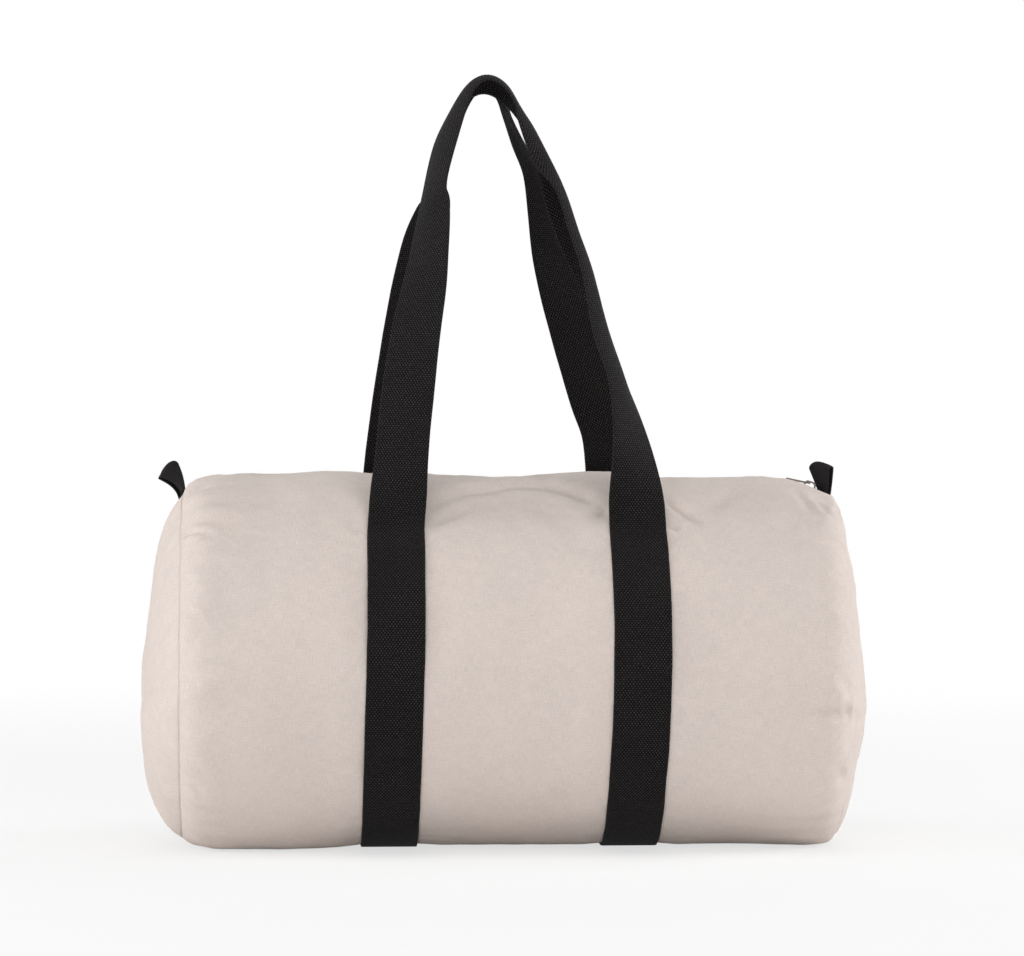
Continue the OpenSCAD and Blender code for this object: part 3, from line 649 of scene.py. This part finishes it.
def handle_line(side):
    """Middles, directions across, distances up and bows of the free webbing, in front of the bag."""
    mid = smooth_path(LOOPS[side], LOOP_STEPS)
    h = mid[:, 1]
    foot = foot_at(HANDLE_OUT)
    # both handles lean until their inner edges meet at the top
    lean = math.acos((-foot[1] - WEB_W / 2 - MEET_GAP) / HANDLE_REACH)
    sideways = np.array([1.0, 0, 0])
    up = np.array([0, math.cos(lean), math.sin(lean)])
    inward = np.array([0, math.sin(lean), -math.cos(lean)])
    along = np.gradient(mid[:, :2], axis=0)
    along[0], along[-1] = [0, 1], [0, -1]
    blend_in = smoothstep(h, 0, FOOT_STRAIGHT)[:, None]
    straight = np.where(np.arange(len(mid))[:, None] < len(mid) / 2, [[0.0, 1.0]], [[0.0, -1.0]])
    along = unit(unit(along) * blend_in + straight * (1 - blend_in))
    flat = along[:, 1:] * sideways - along[:, :1] * up
    turn = -np.radians(mid[:, 2])[:, None]
    across = np.cos(turn) * flat + np.sin(turn) * inward
    swell = HANDLE_SWELL * np.sin(np.pi * h / HANDLE_REACH) ** 2
    centre = foot + mid[:, :1] * sideways + h[:, None] * up - swell[:, None] * inward
    centre = centre + (foot_at(STRAP_OUT) - foot) * (1 - smoothstep(h, 0, FOOT_EASE))[:, None]
    lift = FOOT_LIFT * h * math.tan(lean - math.pi / 4) * np.exp(-h / FOOT_LIFT_REACH)
    return centre + inward * lift[:, None], across, h, mid[:, 3]


def make_webbing(side):
    """Front or back half of both straps, with the handle that runs on from them."""
    centre, across, h, bow = handle_line(side)
    a = STRAP_ANGLES
    left, right = (skin(strap_middle(side, k, a), a, STRAP_OUT, UNDER_STRAP, 1, WEB_SOFT) for k in (0, 1))
    centre = np.concatenate([left, centre, right[::-1]])
    sideways = np.repeat([[1.0, 0, 0]], len(a), 0)
    across = np.concatenate([sideways, across, -sideways])
    pad = np.zeros(len(a))
    h = np.concatenate([pad, h, pad])
    bow = np.clip(np.concatenate([pad, bow, pad]), 0, MOST_BOW)
    ahead = unit(np.gradient(centre, axis=0))
    across = unit(across - ahead * (across * ahead).sum(1, keepdims=True))
    # bowed webbing is narrower across, as its curve keeps its width
    chord = (WEB_W + np.sqrt(WEB_W**2 - 32 / 3 * bow**2)) / 2
    half = chord / 2 + EDGE_WOBBLE * ripple(path_lengths(centre), EDGE_SEED, *EDGE_RIPPLE)
    pts, faces, places = band(centre, across, np.cross(across, ahead), half, WEB_T / 2, WEB_POINTS, bow)
    if side < 0:
        pts = pts * [1, -1, 1]
        faces = [f[::-1] for f in faces]
    name = SIDES[side]
    obj = mesh_object(name + "_webbing", pts, faces, places)
    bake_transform(obj)
    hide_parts("left_strap", "right_strap", name + "_handle")
    return obj


# Stitches: length, radius and height of a stitch, then where its rows run
CROSS_STITCH, CROSS_ANGLE, CROSS_OUT = (2.7, 0.42, 0.3), 46.6, 2.06
CROSS_PLACES = (np.arange(9) - 4) * 3.78
EDGE_STITCH, EDGE_ANGLES, EDGE_OUT = (2.9, 0.3, 0.2), np.arange(48.6, 178, 1.72), 2.02
EDGE_PLACES = (-17.6, 17.6)
HEM_STITCH, HEM_PLACES, HEM_BESIDE, HEM_OUT = (2.6, 0.3, 0.22), np.arange(-226, 222, 3.6), 9.0, 0.05
ANGLE_STEP = 0.3


def strap_point(side, k, a, u, o):
    """Place on a strap, u across it, with the directions along it and out of it."""
    p, q = (skin(strap_middle(side, k, angle) + u, np.array(float(angle)), o, UNDER_STRAP, side, WEB_SOFT)
            for angle in (a, a + ANGLE_STEP))
    along = (q - p) / np.linalg.norm(q - p)
    return p, along, np.cross([1.0, 0, 0], along) * -side


def make_cross_stitches(side):
    """The row of thread across each strap, under the foot of its handle."""
    places = []
    for k in (0, 1):
        for u in CROSS_PLACES:
            p, _, out = strap_point(side, k, CROSS_ANGLE, u, CROSS_OUT)
            places.append((p, np.array([1.0, 0, 0]), out))
    obj = mesh_object(SIDES[side] + "_cross_stitches", *stitches(places, CROSS_STITCH))
    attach(obj, "root")
    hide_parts(SIDES[side] + "_cross_stitching")
    return obj


def make_strap_stitches(side):
    """Rows of thread along both edges of each strap."""
    places = [strap_point(side, k, a, u, EDGE_OUT) for k in (0, 1) for u in EDGE_PLACES for a in EDGE_ANGLES]
    obj = mesh_object(SIDES[side] + "_strap_stitches", *stitches(places, EDGE_STITCH))
    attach(obj, "root")
    return obj


def make_hem_stitches(side):
    """Thread that sews the cloth to the zip tape."""
    a = angle_beside(HEM_BESIDE) + 0 * HEM_PLACES
    p = skin(HEM_PLACES, a, cloth_offset(HEM_PLACES, a, side) + HEM_OUT, 0.0, side)
    tangent = unit(np.gradient(p, axis=0))
    places = [(q, t, np.cross([0.0, 1, 0], t)) for q, t in zip(p, tangent)]
    points, faces, flat = stitches(places, HEM_STITCH)
    obj = mesh_object(SIDES[side] + "_mouth_stitches", points, faces, flat)
    blend_to_mouth(obj)
    return obj


# Zip: its tapes part where the slider lets go of them, between the two rows of teeth
TAPE_W, TAPE_T, TAPE_OUT = 15.0, 0.5, -1.4
TAPE_SHUT, TAPE_PARTED, TAPE_SHARES = 0.2, 1.25, np.linspace(0, 1, 7)
TAPE_STEPS = [(-232.4, -MOUTH_HALF, 2.4), (-MOUTH_HALF, MOUTH_HALF, 5), (MOUTH_HALF, 232.4, 1.8)]
SLIDER_X, SLIDER_LEN = 219.5, 13
SPLIT_X = SLIDER_X + SLIDER_LEN / 8
TEETH_START, TOOTH_PITCH, TOOTH_LEN, TOOTH_H, TOOTH_EDGE = -204.0, 4.0, 1.65, 1.6, 0.3
TOOTH_ACROSS, SPINE_ACROSS, TEETH_LIFT = (-1.3, 0.7), (-2.9, -1.2), 0.2
SPINE_STEPS = [(TEETH_START, MOUTH_HALF, 12), (MOUTH_HALF, SPLIT_X, 5)]
BOX_CORNERS = np.array([[i, j, k] for k in (0, 1) for j in (0, 1) for i in (0, 1)], float)
BOX_FACES = [[0, 2, 3, 1], [4, 5, 7, 6], [0, 1, 5, 4], [2, 6, 7, 3], [0, 4, 6, 2], [1, 3, 7, 5]]


def make_zip_tape(side):
    x = stations(TAPE_STEPS)
    inner = np.where(x > SPLIT_X, TAPE_PARTED, TAPE_SHUT)
    a = angle_beside(inner[:, None] + (TAPE_W - inner[:, None]) * TAPE_SHARES)
    x = np.repeat(x[:, None], len(TAPE_SHARES), 1)
    o = cloth_offset(x, np.maximum(a, ZIP_EDGE), side) + TAPE_OUT
    obj = mesh_object(SIDES[side] + "_zip_cloth", skin(x, a, o, 0.0, side),
                      grid_faces(*x.shape, flip=side < 0), np.stack([arc(a), x, 0 * x], -1))
    thicken(obj, TAPE_T)
    blend_to_mouth(obj)
    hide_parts(SIDES[side] + "_zip_tape", "left_zip_end", "right_zip_end")
    return obj


def zip_block(side, x0, x1, across):
    """A tooth, or a stretch of its row's spine, that follows the trough of the zip."""
    q = BOX_CORNERS * [x1 - x0, across[1] - across[0], TOOTH_H] + [x0, across[0], TEETH_LIFT]
    p = skin(q[:, 0], angle_beside(-q[:, 1]), TAPE_OUT + q[:, 2], 0.0, side)
    return p, [f if side > 0 else f[::-1] for f in BOX_FACES], q[:, [1, 0, 2]]


def make_teeth(side):
    lead = 0.0 if side > 0 else TOOTH_PITCH / 2
    starts = [TEETH_START + lead + k * TOOTH_PITCH for k in range(int((SPLIT_X - TEETH_START) / TOOTH_PITCH))]
    parts = [zip_block(side, x, x + TOOTH_LEN, TOOTH_ACROSS) for x in starts if x + TOOTH_LEN < SPLIT_X]
    cuts = stations(SPINE_STEPS)
    parts += [zip_block(side, x0, x1, SPINE_ACROSS) for x0, x1 in zip(cuts[:-1], cuts[1:])]
    points, faces, places = joined(parts)
    obj = mesh_object(SIDES[side] + "_zip_coil", points, faces, places, smooth=False)
    blend_to_mouth(obj)
    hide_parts(SIDES[side] + "_zip_teeth", "left_zip_end")
    bevel(obj, TOOTH_EDGE)
    return obj


# Bindings of the end seams, inside the bag
BINDING_T, BINDING_GAP, BINDING_LOWEST = 1.3, 0.25, 2.6
BINDING_PLACES, BINDING_ANGLES = np.linspace(225.9, 232.7, 6), np.linspace(9, 180, 130)


def make_binding(left):
    parts = []
    for side in SIDES:
        x, a = np.meshgrid(BINDING_PLACES * (-1 if left else 1), BINDING_ANGLES, indexing="ij")
        o = cloth_offset(x, a, side) - CLOTH_T - BINDING_GAP
        parts.append((skin(x, a, o, BINDING_LOWEST, side), grid_faces(*x.shape, flip=(side < 0) != left),
                      np.stack([x, arc(a), 0 * x], -1)))
    obj = mesh_object(ENDS[left] + "_binding_tape", *joined(parts))
    thicken(obj, BINDING_T)
    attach(obj, "root")
    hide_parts(ENDS[left] + "_seam_binding")
    return obj


# End tabs: both long edges of each folded tab, at the seam, where it bends and at the fold
TAB_EDGES = {True: (((-234.8, -12, 246), (-234.8, -8, 255.3), (-251, 1.9, 262.6)),
                    ((-231.8, 8, 247), (-236, 9, 261), (-240.3, 10, 276.6))),
             False: (((231, 10, 247), (227.5, 9, 256), (221.0, 7, 274.5)),
                     ((231.6, -10, 245), (233.4, -9, 258), (234.6, -8, 271)))}
TAB_W, TAB_T, TAB_FOLD, TAB_SHUT_SHARE = 20.0, 1.1, 4.4, 0.3
TAB_CORNER, TAB_CORNER_SHARE, TAB_BULGE, TAB_DROP = 4.0, 0.3, 1.6, 1.6
TAB_STEPS, FOLD_STEPS, TAB_POINTS = 22, 14, 15


def bend(points, t):
    """Places and directions along a curve drawn by its two ends and the bend between them."""
    p, q, r = (np.array(point, float) for point in points)
    return (1 - t) ** 2 * p + 2 * t * (1 - t) * q + t * t * r, 2 * (1 - t) * (q - p) + 2 * t * (r - q)


def make_tab(left):
    """A loop of tape that twists on its way up: up one layer, over the fold and down the other."""
    near_edge, far_edge = TAB_EDGES[left]
    height = np.linalg.norm(np.sum([np.subtract(e[2], e[0]) for e in (near_edge, far_edge)], 0)) / 2
    straight = 1 - TAB_FOLD / 2 / height
    up = np.linspace(0, straight, TAB_STEPS)
    over = np.radians(np.linspace(180, 0, FOLD_STEPS)[1:-1])
    rise = np.concatenate([up, straight + np.sin(over) * TAB_FOLD / 2 / height, up[::-1]])[:, None]
    parting = TAB_SHUT_SHARE + (1 - TAB_SHUT_SHARE) * up / straight
    layer = np.concatenate([-parting, np.cos(over), parting[::-1]])[:, None] * TAB_FOLD / 2
    (near, near_dir), (far, far_dir) = bend(near_edge, rise), bend(far_edge, rise)
    along = unit(near_dir + far_dir)
    mid = (near + far) / 2 + layer * unit(np.cross(far - near, along))
    # the corners at the fold are rounded
    corner = np.clip((rise[:, 0] * height - height + TAB_CORNER) / TAB_CORNER, 0, 1)
    narrower = TAB_CORNER * TAB_CORNER_SHARE * (1 - np.sqrt(1 - corner**2))
    half = np.linalg.norm(far - near, axis=1) / 2 - narrower
    ahead = unit(np.gradient(mid, axis=0))
    across = unit(far - near)
    across = unit(across - ahead * (across * ahead).sum(1, keepdims=True))
    pts, faces, places = band(mid, across, np.cross(across, ahead), half, TAB_T / 2, TAB_POINTS)
    # the fold is fullest in its middle
    v = places[..., :1] / half[:, None, None]
    pts = pts + (along * rise**5)[:, None] * (TAB_BULGE * (1 - v * v) - TAB_DROP * v**4)
    obj = mesh_object(ENDS[left] + "_tab_loop", pts, faces, places)
    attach(obj, "root")
    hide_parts(ENDS[left] + "_end_tab")
    return obj


# Build
PIECES = [make(side) for side in SIDES
          for make in (make_cloth, make_webbing, make_zip_tape, make_teeth, make_hem_stitches)]
PIECES += [make(side) for side in SIDES for make in (make_cross_stitches, make_strap_stitches)]
PIECES += [make(left) for left in ENDS for make in (make_end, make_tab, make_binding)]


# Materials; the scales of their noises are in millimetres of cloth, or in metres of the object
class Nodes:
    """The shader nodes of a material or of the world."""

    def __init__(self, owner, output="OutputMaterial"):
        self.owner = owner
        owner.use_nodes = True
        self.tree = owner.node_tree
        self.tree.nodes.clear()
        self.out = self.add(output)

    def add(self, kind, ins=None, **props):
        node = self.tree.nodes.new("ShaderNode" + kind)
        for k, v in props.items():
            setattr(node, k, v)
        for k, v in (ins or {}).items():
            self.put(node.inputs[k], v)
        return node

    def put(self, socket, value):
        if isinstance(value, bpy.types.NodeSocket):
            self.tree.links.new(value, socket)
        elif isinstance(value, bpy.types.Node):
            self.tree.links.new(value.outputs[0], socket)
        else:
            socket.default_value = value

    def on_cloth(self):
        return self.add("Attribute", attribute_name="cloth").outputs["Vector"]

    def on_object(self):
        return self.add("TexCoord").outputs["Object"]

    def math(self, op, *values, clamp=False):
        return self.add("Math", dict(enumerate(values)), operation=op, use_clamp=clamp).outputs[0]

    def total(self, first, *others):
        for value in others:
            first = self.math("ADD", first, value)
        return first

    def times(self, value, gain):
        return self.math("MULTIPLY", value, gain)

    def around_zero(self, value):
        return self.math("SUBTRACT", value, 0.5)

    def mix(self, factor, a, b, mode="MIX"):
        return self.add("Mix", {0: factor, 6: a, 7: b}, data_type="RGBA", blend_type=mode).outputs[2]

    def ramp(self, value, lo, hi, a=0.0, b=1.0):
        ins = dict(enumerate((value, lo, hi, a, b)))
        return self.add("MapRange", ins, interpolation_type="SMOOTHSTEP").outputs[0]

    def noise(self, vector, scale, detail=2.0, rough=0.5):
        ins = {"Vector": vector, "Scale": scale, "Detail": detail, "Roughness": rough}
        return self.add("TexNoise", ins, noise_dimensions="3D").outputs[0]

    def threads(self, vector, scale, distortion=0.0):
        ins = {"Vector": vector, "Scale": scale, "Distortion": distortion}
        return self.add("TexWave", ins, wave_type="BANDS", bands_direction="DIAGONAL").outputs["Fac"]

    def scaled(self, vector, size):
        return self.add("VectorMath", {0: vector, 1: size}, operation="MULTIPLY").outputs[0]

    def background_seen(self):
        """1 for a ray that shows the background itself, straight, in a reflection or through glass."""
        path = self.add("LightPath")
        other = self.math("MAXIMUM", path.outputs["Is Glossy Ray"], path.outputs["Is Transmission Ray"])
        return self.math("MAXIMUM", path.outputs["Is Camera Ray"], other)

    def finish(self, colour, rough, height, depth, **shader):
        """depth is the bump's, in metres."""
        bump = self.add("Bump", {"Height": height, "Strength": 1.0, "Distance": depth})
        bsdf = self.add("BsdfPrincipled", {"Base Color": colour, "Roughness": rough, "Normal": bump})
        for k, v in shader.items():
            self.put(bsdf.inputs[k.replace("_", " ")], v)
        self.put(self.out.inputs["Surface"], bsdf)
        return self.owner


def material(name):
    return Nodes(bpy.data.materials.new(name))


def rgb(red, green, blue):
    return red, green, blue, 1


FLAT = (1.0, 1.0, 0.0)
COTTON_WARM, COTTON_COOL = rgb(0.680, 0.596, 0.548), rgb(0.668, 0.590, 0.546)
COTTON_FLECK, FLECK_SCALE, FLECK_SHARE = rgb(0.36, 0.26, 0.19), 0.09, 0.4
COTTON_PITCH, COTTON_DEPTH = 1.1, 0.00026
THREAD_GAIN, CLOUD_GAIN, FINE_GAIN = 0.50, 0.10, 0.60


def cotton_material():
    m = material("cotton_canvas")
    at = m.on_cloth()
    sep = m.add("SeparateXYZ", {0: at})
    flat = m.scaled(at, FLAT)
    warp = m.noise(m.scaled(at, (1.7, 0.16, 0.0)), 1.0, 2.0, 0.6)
    weft = m.noise(m.scaled(at, (0.13, 1.9, 0.0)), 1.0, 2.0, 0.6)
    thread = m.total(m.times(warp, 0.5), m.times(weft, 0.5))
    fine = m.noise(flat, 1.5, 2.0, 0.7)
    cloudy = m.noise(flat, 0.11, 3.0, 0.6)
    slow = m.noise(flat, 0.012, 3.0, 0.6)
    shade = m.total(m.times(m.around_zero(thread), THREAD_GAIN), m.times(m.around_zero(cloudy), CLOUD_GAIN),
                    m.times(m.around_zero(fine), FINE_GAIN))
    base = m.mix(m.ramp(slow, 0.35, 0.65), COTTON_WARM, COTTON_COOL)
    colour = m.mix(1.0, base, m.total(shade, 1.0), "MULTIPLY")
    # seed flecks that raw cotton has, in a few of the cells
    cells = m.add("TexVoronoi", {"Vector": flat, "Scale": FLECK_SCALE, "Randomness": 1.0}, feature="F1")
    spot = m.ramp(cells.outputs["Distance"], 0.03, 0.06, 1.0, 0.0)
    hue = m.add("SeparateColor", {0: cells.outputs["Color"]})
    fleck = m.times(m.times(spot, m.ramp(hue.outputs[0], 0.72, 0.76)), FLECK_SHARE)
    colour = m.mix(fleck, colour, COTTON_FLECK)
    # plain weave, one thread over and one under
    over = m.times(*(m.math("SINE", m.times(sep.outputs[k], math.tau / COTTON_PITCH)) for k in (0, 1)))
    height = m.total(m.times(over, 0.25), m.times(thread, 0.8), m.times(fine, 0.4))
    return m.finish(colour, m.ramp(fine, 0.3, 0.7, 0.88, 0.97), height, COTTON_DEPTH,
                    Sheen_Weight=0.08, Sheen_Roughness=0.6, Specular_IOR_Level=0.2)


def webbing_material(name, pitch_u, pitch_v, base, painted_sheen_and_fuzz, edge):
    """Knuckles of thread in staggered rows, their tops painted lighter as painted sheen; pitch_u across and
    pitch_v along; edge is half the width.
    """
    m = material(name)
    at = m.on_cloth()
    sep = m.add("SeparateXYZ", {0: at})
    u, v = sep.outputs[0], sep.outputs[1]
    v = m.total(v, m.times(m.around_zero(m.noise(at, 0.2)), 0.5))
    rows = m.math("DIVIDE", v, pitch_v)
    row = m.math("FLOOR", rows)
    odd = m.times(m.math("MODULO", m.math("ABSOLUTE", row), 2.0), 0.5)
    cols = m.total(m.math("DIVIDE", u, pitch_u), odd)
    in_col = m.around_zero(m.math("SUBTRACT", cols, m.math("FLOOR", cols)))
    in_row = m.around_zero(m.math("SUBTRACT", rows, row))
    away = m.total(m.times(m.times(in_col, in_col), 9.0), m.times(m.times(in_row, in_row), 4.5))
    knuckle_relief_and_sheen = m.math("SUBTRACT", 1.0, away, clamp=True)
    mottle = m.noise(m.scaled(at, (0.7, 0.35, 0.0)), 1.0, 3.0, 0.65)
    hair = m.noise(m.scaled(at, (3.0, 3.0, 1.0)), 1.0, 2.0, 0.7)
    # the knuckle tops get the lighter colour: painted sheen, stronger or weaker at random
    colour = m.mix(m.times(knuckle_relief_and_sheen, m.ramp(mottle, 0.3, 0.65, 0.35, 1.0)), base, painted_sheen_and_fuzz)
    slow = m.noise(at, 0.03, 3.0, 0.6)
    colour = m.mix(1.0, colour, m.ramp(slow, 0.3, 0.7, 0.9, 1.1), "MULTIPLY")
    # worn, fuzzy edges
    rim = m.ramp(m.math("ABSOLUTE", u), edge - 1.3, edge)
    colour = m.mix(m.times(rim, m.ramp(hair, 0.4, 0.7, 0.1, 0.45)), colour, painted_sheen_and_fuzz)
    height = m.total(knuckle_relief_and_sheen, m.times(hair, 0.1))
    return m.finish(colour, m.ramp(hair, 0.3, 0.7, 0.8, 0.95), height, 0.0002, Specular_IOR_Level=0.12)


def metal_material():
    m = material("nickel")
    at = m.on_object()
    scratch = m.noise(m.scaled(at, (900.0, 5000.0, 900.0)), 1.0)
    dull = m.noise(at, 220.0, 3.0, 0.6)
    colour = m.mix(m.ramp(dull, 0.35, 0.7), rgb(0.125, 0.105, 0.09), rgb(0.095, 0.08, 0.07))
    return m.finish(colour, m.ramp(scratch, 0.3, 0.7, 0.36, 0.48), scratch, 0.00002, Metallic=1.0)


def plain_tape_material():
    m = material("zip_tape_cloth")
    at = m.on_object()
    rows = m.threads(at, 420.0, 0.4)
    mottle = m.noise(at, 90.0, 3.0, 0.6)
    colour = m.mix(m.ramp(mottle, 0.3, 0.7), rgb(0.60, 0.54, 0.47), rgb(0.52, 0.46, 0.40))
    colour = m.mix(m.times(rows, 0.15), colour, rgb(0.34, 0.30, 0.26))
    return m.finish(colour, 0.9, rows, 0.0001, Sheen_Weight=0.1)


def teeth_material():
    m = material("moulded_teeth")
    mottle = m.noise(m.on_object(), 160.0)
    colour = m.mix(m.ramp(mottle, 0.3, 0.7), rgb(0.62, 0.57, 0.50), rgb(0.55, 0.50, 0.44))
    return m.finish(colour, m.ramp(mottle, 0.3, 0.7, 0.38, 0.5), mottle, 0.00003)


def thread_material(name, dark, pale):
    m = material(name)
    twist = m.threads(m.on_object(), 900.0)
    return m.finish(m.mix(twist, dark, pale), 0.85, twist, 0.00006, Specular_IOR_Level=0.15)


COTTON = cotton_material()
# the lighter colour of each webbing is painted sheen on its knuckles, and also the colour of its fuzzy edges
WEBBING = webbing_material("black_webbing", 2.25, 1.55, rgb(0.0010, 0.0007, 0.0008),
                           rgb(0.052, 0.046, 0.046), WEB_W / 2)
TAB_TAPE = webbing_material("black_tape", 1.3, 1.1, rgb(0.011, 0.010, 0.0102),
                            rgb(0.035, 0.032, 0.032), TAB_W / 2)
NICKEL = metal_material()
ZIP_TAPE = plain_tape_material()
TEETH = teeth_material()
BLACK_THREAD = thread_material("black_thread", rgb(0.0035, 0.0032, 0.0032), rgb(0.010, 0.0092, 0.0092))
COTTON_THREAD = thread_material("cotton_thread", rgb(0.60, 0.53, 0.47), rgb(0.72, 0.65, 0.59))

# The look of each piece, by its name without its side or end
LOOKS = {"cloth": COTTON, "end_cloth": COTTON, "webbing": WEBBING, "tab_loop": TAB_TAPE,
         "zip_cloth": ZIP_TAPE, "binding_tape": ZIP_TAPE, "zip_coil": TEETH, "mouth_stitches": COTTON_THREAD,
         "cross_stitches": BLACK_THREAD, "strap_stitches": BLACK_THREAD}
METAL_NODES = ("zip_slider", "zip_pull", "zip_top_stops", "zip_bottom_stop")
METAL_EDGE, SHARP_ANGLE = 0.18, 40


def dress_metal(obj):
    """Nickel on a node of the frame, with its sharp edges broken."""
    if not obj.material_slots:
        obj.data.materials.append(NICKEL)
    for slot in obj.material_slots:
        slot.link = "OBJECT"
        slot.material = NICKEL
    m = bevel(obj, METAL_EDGE)
    m.limit_method = "ANGLE"
    m.angle_limit = math.radians(SHARP_ANGLE)


for piece in PIECES:
    piece.data.materials.append(LOOKS[piece.name.split("_", 1)[1]])
for node in METAL_NODES:
    dress_metal(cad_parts[node])

# Stage, in metres: a pale floor that turns into the white background further out
FLOOR_HALF, FLOOR_UNDER = 14.0, 0.0003
FLOOR_PALE, FLOOR_PALER = rgb(0.92, 0.92, 0.92), rgb(0.94, 0.94, 0.94)
WHITE_NEAR, WHITE_FAR, WHITE_SHARE = 0.3, 2.4, 0.66
WORLD_COLOUR, WORLD_LIGHT = rgb(1.0, 0.99, 0.985), 0.20
WHITE = rgb(1, 1, 1)


def make_floor():
    r = FLOOR_HALF
    mesh = bpy.data.meshes.new("floor")
    mesh.from_pydata([(x, y, -FLOOR_UNDER) for x, y in ((-r, -r), (r, -r), (r, r), (-r, r))], [], [range(4)])
    floor = bpy.data.objects.new("floor", mesh)
    bpy.context.collection.objects.link(floor)
    m = material("floor_paint")
    at = m.on_object()
    far = m.add("VectorMath", {0: at}, operation="LENGTH").outputs["Value"]
    share = m.times(m.background_seen(), m.ramp(far, WHITE_NEAR, WHITE_FAR, WHITE_SHARE, 1.0))
    paint = m.add("BsdfDiffuse", {"Color": m.mix(m.noise(at, 40.0), FLOOR_PALE, FLOOR_PALER)})
    light = m.add("Emission", {"Color": WHITE, "Strength": 1.0})
    m.put(m.out.inputs["Surface"], m.add("MixShader", {0: share, 1: paint, 2: light}))
    mesh.materials.append(m.owner)


def make_world():
    world = bpy.data.worlds.new("studio")
    bpy.context.scene.world = world
    w = Nodes(world, "OutputWorld")
    lit = w.add("Background", {"Color": WORLD_COLOUR, "Strength": WORLD_LIGHT})
    seen = w.add("Background", {"Color": WHITE, "Strength": 1.0})
    w.put(w.out.inputs["Surface"], w.add("MixShader", {0: w.background_seen(), 1: lit, 2: seen}))


# Lamps: place and size in metres, power in watts
TARGET = (0, 0, 0.15)
LAMPS = {
    "front_softbox": ((-0.3, -3.0, 1.5), (3.0, 1.8), 7),
    "low_softbox": ((-0.1, -1.9, 0.10), (2.6, 0.16), 12.5),
    "left_softbox": ((-2.4, -0.15, 0.8), (1.4, 1.6), 33),
    "right_softbox": ((2.4, 0.3, 0.8), (1.4, 1.6), 38),
    "top_softbox": ((0.0, -0.9, 2.6), (2.4, 1.6), 27),
    "rear_softbox": ((0.3, 2.8, 1.2), (2.4, 1.6), 18)}


def make_lamp(name, place, size, power):
    data = bpy.data.lights.new(name, "AREA")
    data.shape = "RECTANGLE"
    data.size, data.size_y = size
    data.energy = power
    obj = bpy.data.objects.new(name, data)
    bpy.context.collection.objects.link(obj)
    obj.location = place
    obj.rotation_euler = (Vector(place) - Vector(TARGET)).to_track_quat("Z", "Y").to_euler()
    obj.visible_camera = False


make_floor()
make_world()
for name, (place, size, power) in LAMPS.items():
    make_lamp(name, place, size, power)
bpy.context.scene.view_settings.view_transform = "Standard"
